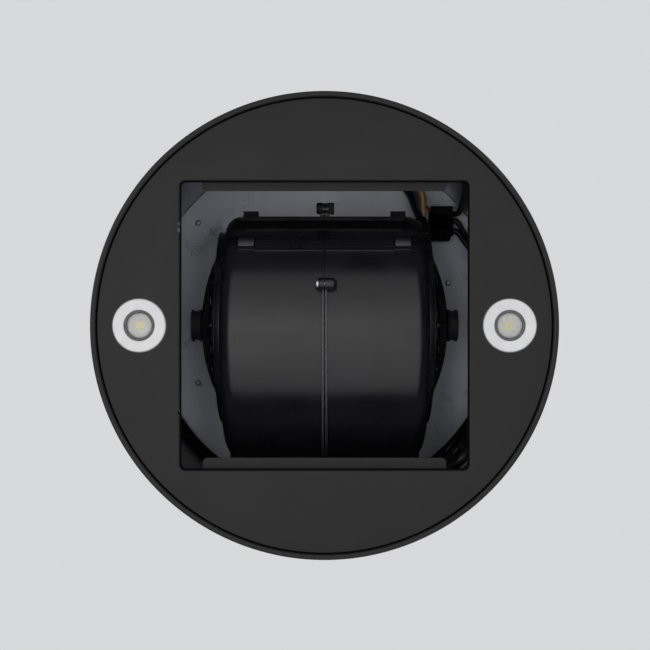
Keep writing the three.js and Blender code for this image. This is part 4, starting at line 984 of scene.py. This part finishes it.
def impeller():
    """The double fan wheel: forward-curved blades between two end rings and a middle disc."""
    radius = 76
    half = span("impeller")[1].x
    bm = lathe([(46.4, -1), (radius, -1), (radius, 1), (46.4, 1)], axis="x", steps=96)
    rim = [(radius - 11, half - 2), (radius - 0.5, half - 2), (radius, half - 1.5)]
    rim += [(radius, half), (radius - 11, half)]
    for side in (-1, 1):
        turned(bm, [(r, side * h) for r, h in rim], axis="x", steps=96)
    bend, thick = 8.5, 0.9
    outer = arc((-4, radius - 9.8), bend, 20, 110, 6)
    inner = arc((-4, radius - 9.8), bend - thick, 110, 20, 6)
    blade = loft([[Vector((x, y, z)) for y, z in outer + inner] for x in (-half + 1, half - 1)])
    made = copied_round("fan_wheel_bladed", bm, blade, 42, FINISH["black_plastic"])
    fit(made, FAN, "black_plastic", "impeller")


# ------------------------------------------------------------------ lamps
def lamp(word):
    """White ring, milky lens, and the board behind it with its yellow chip."""
    centre = LAMPS[word]
    place = (centre.x, centre.y, 0)
    face = span(f"lamp_bezel_{word}")[0].z
    back = panel_low.z - 0.3
    ring = [
        (12.5, face + 1.4),
        *arc((13.6, face + 1.1), 1.1, 180, 270, 5),
        (20.2, face),
        *arc((20.4, face + 1.1), 1.1, 270, 360, 5),
        (21.5, back),
        (18.3, back),
        (18.3, back + 13.2),
        (16.7, back + 13.2),
        (16.7, back + 1.3),
        (12.5, back + 1.3),
    ]
    piece(f"lamp_{word}_ring", lathe(ring, place, steps=96), HOOD, "white_bezel", f"lamp_bezel_{word}")
    low = span(f"lamp_lens_{word}")[0].z
    lens = [(0, low), (8.4, low), *arc((8.9, low + 1), 1, 270, 360, 4), (9.9, low + 1.35), (16.3, low + 1.35)]
    lens += [(16.3, low + 2.9), (0, low + 2.9)]
    piece(f"lamp_{word}_lens", lathe(lens, place, steps=72), HOOD, "clear_plastic", f"lamp_lens_{word}")
    seal_and_shade_ring = lathe(arc((11.4, low + 0.5), 1.25, 0, 345, 23), place, steps=72)
    rest = panel_low.z
    # a thin grey ring just past the white ring's edge: painted shade for the gap round the lamp
    shade_ring = [(21.0, rest - 0.25), (22.1, rest - 0.2), (22.2, rest + 0.05), (21.0, rest + 0.05)]
    turned(seal_and_shade_ring, shade_ring, place, steps=96)
    piece(f"lamp_{word}_seal", seal_and_shade_ring, HOOD, "black_rubber", material=LAMP_SEAL_AND_SHADE)
    board_top = span(f"lamp_board_{word}")[1].z
    board = [(0, board_top - 1.6), (16.2, board_top - 1.6), (16.2, board_top), (0, board_top)]
    piece(f"lamp_{word}_board", lathe(board, place, steps=48), HOOD, "lamp_board", f"lamp_board_{word}")
    chip = bmesh.new()
    half = 3.3
    low = (centre.x - half, centre.y - half, board_top - 2.5)
    high = (centre.x + half, centre.y + half, board_top - 1.7)
    bar(chip, low, high, 0.7)
    piece(f"lamp_{word}_chip", chip, HOOD, "lamp_board", material=PHOSPHOR)


# ------------------------------------------------------------------ switches
def push_button(i):
    """A round cap with a soft edge and a shallow dished face, on its stem."""
    low, high = span(f"button_{i}")
    centre = middle(f"button_{i}")
    front = -low.y
    cap_back = SHELL_RADIUS - 16
    face = [(0, front - 0.7), (2.5, front - 0.6), (3.6, front - 0.15)]
    face += arc((4.3, front - 0.7), 0.7, 90, 0, 4)
    profile = [*face, (5, cap_back), (2.5, cap_back), (2.5, -high.y + 0.4), (2.1, -high.y), (0, -high.y)]
    bm = lathe([(r, -h) for r, h in profile], (centre.x, 0, centre.z), "y", 40)
    piece(f"push_button_cap_{i}", bm, f"push_button_{i}", "black_plastic", f"button_{i}")


# ------------------------------------------------------------------ wiring
LEAD_RADIUS = 1.4
LEAD_PITCH = 3.6
CABLE_RADIUS = 3
WIRE_HOLE = (92, -148)  # in the plate
LAMP_TOP = 36.2  # above the heat sinks
connector_low, connector_high = span("connector_block")


def connector_block():
    """The plug connection under the plate: a ribbed body, a latch and a row of wire seals."""
    low, high = connector_low, connector_high
    bm = bmesh.new()
    bar(bm, low, (high.x, high.y - 4, high.z), 1.0)
    bar(bm, (low.x + 2, high.y - 6, low.z + 4), (high.x - 2, high.y, high.z - 4), 0.8)
    bar(bm, (low.x + 0.1, low.y + 8, low.z), (high.x - 4, high.y - 9, low.z + 6), 0.8)
    for i in range(4):
        x = low.x + 3.5 + 5.2 * i
        bar(bm, (x, high.y - 3, low.z + 5), (x + 1.6, high.y - 0.2, low.z + 20), 0.4)
    for i in range(3):
        y = low.y + 6 + 6 * i
        bar(bm, (high.x - 1.5, y, low.z + 3), (high.x - 0.1, y + 3.2, high.z - 3), 0.4)
    piece("connector_latched", bm, HOOD, "black_plastic", "connector_block", material=MATT_NYLON_AND_SHADE)


def by_wall(degrees, height, away=0.0):
    """A point against the inside of the shell, at a compass angle and a height."""
    radius = SHELL_INNER - CABLE_RADIUS - 1.5 - away
    angle = math.radians(degrees)
    return (radius * math.cos(angle), radius * math.sin(angle), height)


def motor_lead(index):
    """Route of one motor lead, from above the plate to the mouth of its black sleeving."""
    across = (index - 1.5) * LEAD_PITCH
    depth = ((index % 2) - 0.5) * LEAD_PITCH * math.sqrt(0.5)
    column = (-0.5 if index < 2 else 0.5) * LEAD_PITCH
    hole_x, hole_y = WIRE_HOLE[0] + across, WIRE_HOLE[1] + depth
    x, y, z = sleeving_mouth()
    return [
        (hole_x, hole_y, plate_low.z + 13.5),
        (hole_x, hole_y, plate_low.z - 6),
        (hole_x + 6.5, hole_y + 14, plate_low.z - 26 + depth),
        (x + (across + column) / 2, y - 14 + depth, z + 17 + depth),
        (x + column, y - 3 + depth, z + 6 + depth),
    ]


def sleeving_mouth():
    """Where the leads go into their sleeving."""
    return (SIDE_FACE + 2.5, -106, plate_low.z - 58)


def lead_sleeving():
    """Route of the sleeving, past the side of the housing and in to the axle's end."""
    over_rim = SIDE_FACE + 6
    face = GUARD_START + GUARD_DEPTH + 3
    return [
        sleeving_mouth(),
        (over_rim - 1, -97, plate_low.z - 69),
        (over_rim, -76, AXIS.z + 64),
        (over_rim + 1, -50, AXIS.z + 61),
        (over_rim + 5, -26, AXIS.z + 52),
        (face + 4.8, -9, AXIS.z + 36),
        (face + 5.2, 0, AXIS.z + 13.5),
    ]


def switch_cable_route():
    """From the connector down the wall at the front right, to the switches."""
    low, high = connector_low, connector_high
    bank_low, bank_high = span("switch_bank")
    bank_y = (bank_low.y + bank_high.y) / 2
    return [
        (high.x + 0.3, low.y + 7, low.z + 12),
        (high.x + 5, low.y + 7, low.z + 12),
        by_wall(-41, plate_low.z - 58, 3),
        by_wall(-43, plate_low.z - 110, 1),
        by_wall(-47, 120, 1),
        by_wall(-56, 75, 1),
        by_wall(-65, 54, 4),
        (bank_high.x + 10, bank_y, (bank_low.z + bank_high.z) / 2),
        (bank_high.x + 0.3, bank_y, (bank_low.z + bank_high.z) / 2),
    ]


def right_lamp_route():
    """From the connector down the wall to the right lamp."""
    low, high = connector_low, connector_high
    lamp_x = LAMPS["right"].x
    return [
        (high.x + 0.3, low.y + 15, low.z + 12),
        (high.x + 5, low.y + 15, low.z + 12),
        (high.x + 17, low.y + 36, low.z + 4),
        by_wall(-20, plate_low.z - 60, 2),
        by_wall(-11, 180, 3),
        by_wall(-6, 110, 6),
        (lamp_x + 12, -4, LAMP_TOP + 26),
        (lamp_x, 0, LAMP_TOP + 6),
        (lamp_x, 0, LAMP_TOP - 1.8),
    ]


def left_lamp_route():
    """From the connector round the back wall to the left lamp."""
    low, high = connector_low, connector_high
    lamp_x = LAMPS["left"].x
    top = high.y - 4
    return [
        (high.x + 0.3, top - 6, low.z + 16),
        (high.x + 5, top - 6, low.z + 16),
        (high.x + 16, top + 8, low.z + 14),
        by_wall(-20, plate_low.z - 15, 8),
        by_wall(-8, plate_low.z - 20, 2),
        by_wall(8, plate_low.z - 22),
        by_wall(28, plate_low.z - 30),
        by_wall(42, plate_low.z - 62),
        by_wall(50, plate_low.z - 120),
        by_wall(62, 140),
        by_wall(82, 110),
        by_wall(102, 92),
        by_wall(122, 80, 1),
        by_wall(142, 70, 2),
        by_wall(158, 66, 4),
        by_wall(171, 64, 10),
        (lamp_x - 10, 5, LAMP_TOP + 24),
        (lamp_x, 0, LAMP_TOP + 6),
        (lamp_x, 0, LAMP_TOP - 1.8),
    ]


def slack_coil():
    """Cable to spare, coiled against the wall in the right back corner."""
    turns = 18  # in radians: a little under three turns
    return [by_wall(44 + 9 * math.cos(t), 150 + 42 * math.sin(t), 1 + 1.1 * t) for t in range(turns)]


def wiring():
    """Every lead and cable, with their sleeves."""
    for i, word in enumerate(("blue", "brown", "white", "earth")):
        cable(f"lead_{word}_wire", motor_lead(i), LEAD_RADIUS, f"lead_{word}", f"motor_lead_{word}")
    under = plate_low.z
    holder = [(78, -152, under + 0.5), (88, -136, under - 20), (93, -119, under - 38), (96, -107, under - 55)]
    cable("earth_sleeving_tube", holder, 4.2, "black_rubber", material=BLACK_SHEATH)
    link = [(100, -131, under - 30), (104, -124, under - 25), (111, -117, under - 16)]
    cable("lead_brown_link", link, LEAD_RADIUS, "lead_brown")
    wrap = [by_wall(18, under - 26), *left_lamp_route()[6:9], by_wall(56, 160)]
    sheathed = (
        ("cable_wrap_spiral", wrap, 4.4),
        ("cable_slack_coil", slack_coil(), CABLE_RADIUS),
        ("lead_sleeving_tube", lead_sleeving(), 4, "motor_lead_sleeving"),
        ("switch_cable_sheathed", switch_cable_route(), CABLE_RADIUS, "switch_cable"),
        ("lamp_cable_right_sheathed", right_lamp_route(), CABLE_RADIUS, "lamp_cable_right"),
        ("lamp_cable_left_sheathed", left_lamp_route(), CABLE_RADIUS, "lamp_cable_left"),
    )
    for name, route, radius, *stands_for in sheathed:
        cable(name, route, radius, "black_rubber", *stands_for, material=BLACK_SHEATH)


def plate_edge_shade():
    """A near-black strip under the plate's edge at the back: painted shade along the plate's edge."""
    outer, inner = SHELL_INNER - 0.6, SHELL_INNER - 11
    low, high = plate_low.z - 11, plate_low.z - 0.2
    section = [(inner, high), (inner, low + 2), (inner + 1.5, low)]
    section += [(outer - 1.5, low), (outer, low + 2), (outer, high)]
    rings = []
    steps = 72
    for i in range(steps + 1):
        angle = math.radians(22 + 136 * i / steps)
        rings.append([Vector((r * math.cos(angle), r * math.sin(angle), z)) for r, z in section])
    piece("foam_seal_strip", loft(rings), HOOD, "black_rubber", material=MATT_NYLON_AND_SHADE)


# ------------------------------------------------------------------ screws
def cross_screw(radius=3.2, height=1.9):
    """A pan-head screw, drawn head down at the origin, with a cross recess."""
    profile = [(0, -height), (radius * 0.5, -height * 0.97), (radius * 0.85, -height * 0.7)]
    profile += [(radius, -height * 0.25), (radius, 0), (radius * 0.5, 0), (radius * 0.5, 4), (0, 4)]
    head = mesh_object("screw_head", lathe(profile, steps=28), FINISH["bright_steel"])
    cuts = []
    for half_x, half_y in ((radius * 0.6, 0.45), (0.45, radius * 0.6)):
        slot = bmesh.new()
        prism(slot, rounded_rectangle(half_x, half_y, 0.1, 1), -5, -height * 0.4)
        cuts.append(mesh_object("recess", slot, FINISH["bright_steel"]))
    return cut_by(head, *cuts)


def plate_screws():
    """Screws in the underside of the top plate."""
    places = [(-133, -107.7), (129.8, -44.7), (-133, 60), (-60, -172), (60, -172)]
    bm = bmesh.new()
    for x, y in places:
        bm.verts.new((x, y, plate_low.z))
    made = mesh_object("plate_screws", bm, FINISH["bright_steel"])
    screw = cross_screw()
    run_tree(made, ON_POINTS, {"Shape": screw, "Seed": 3, "Material": FINISH["bright_steel"]})
    bpy.data.objects.remove(screw)
    fit(made, HOOD, "bright_steel")


# ------------------------------------------------------------------ studio
def camera():
    """Straight up from under the rim, with the switches' side at the top of the picture."""
    data = bpy.data.cameras.new("camera")
    data.lens = 68.5
    made = bpy.data.objects.new("camera", data)
    made.location = (0.0004, -0.0004, -1.0)
    made.rotation_euler = (math.pi, 0, 0)
    bpy.context.scene.collection.objects.link(made)
    bpy.context.scene.camera = made


def softbox(name, place, target, size, watts):
    """A soft rectangular lamp that the camera doesn't see."""
    data = bpy.data.lights.new(name, "AREA")
    data.shape = "RECTANGLE"
    data.size, data.size_y = size
    data.energy = watts
    made = bpy.data.objects.new(name, data)
    made.location = place
    made.rotation_euler = (Vector(target) - Vector(place)).to_track_quat("-Z", "Y").to_euler()
    made.visible_camera = False
    bpy.context.scene.collection.objects.link(made)


def studio():
    """A plain pale floor, a pale surround and soft lamps."""
    floor = bmesh.new()
    prism(floor, rounded_rectangle(9000, 9000, 400), -1700, -1640)
    # polished pale screed: nearly even, with faint clouding
    screed = surface("pale_screed", "#e2e2e0", "#e8e8e6", cloud=400, cloud_detail=4.0, Roughness=0.7)
    made = mesh_object("studio_floor", floor, screed)
    world = bpy.data.worlds.new("studio")
    world.use_nodes = True
    world.node_tree.nodes["Background"].inputs["Color"].default_value = linear("#e8e9ea")
    world.node_tree.nodes["Background"].inputs["Strength"].default_value = 0.85
    bpy.context.scene.world = world
    softbox("underneath", (0, 0.3, -1.35), (0, 0.3, 0), (2.4, 2.2), 4.2)
    for x in (-0.62, 0.62):
        softbox("beside_the_camera", (x, 0.04, -1.35), (x, 0.04, 0), (1.0, 0.4), 6.5)
    softbox("left_side", (-2.4, -1.0, 0.9), (0, 0, 0.5), (1.6, 2.0), 60)
    softbox("right_side", (2.4, -1.4, 0.9), (0, 0, 0.5), (1.2, 2.0), 40)
    softbox("behind", (0.6, 2.6, 1.2), (0, 0, 0.5), (1.6, 2.0), 40)
    bpy.context.scene.view_settings.view_transform = "Standard"


# ------------------------------------------------------------------ assembly
camera()
studio()
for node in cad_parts.values():
    for place in node.material_slots:
        place.material = FINISH[place.material.name]
outer_shell()
bottom_panel()
filter_ledge("front", -1)
filter_ledge("back", 1)
upper_sleeve()
blower_housing()
for side, word in ((-1, "left"), (1, "right")):
    inlet_guard(side, word)
    hub_bush(side, word)
    lamp(word)
impeller()
for number in range(1, 6):
    push_button(number)
connector_block()
wiring()
plate_edge_shade()
housing_screws()
plate_screws()

bpy.context.view_layer.update()
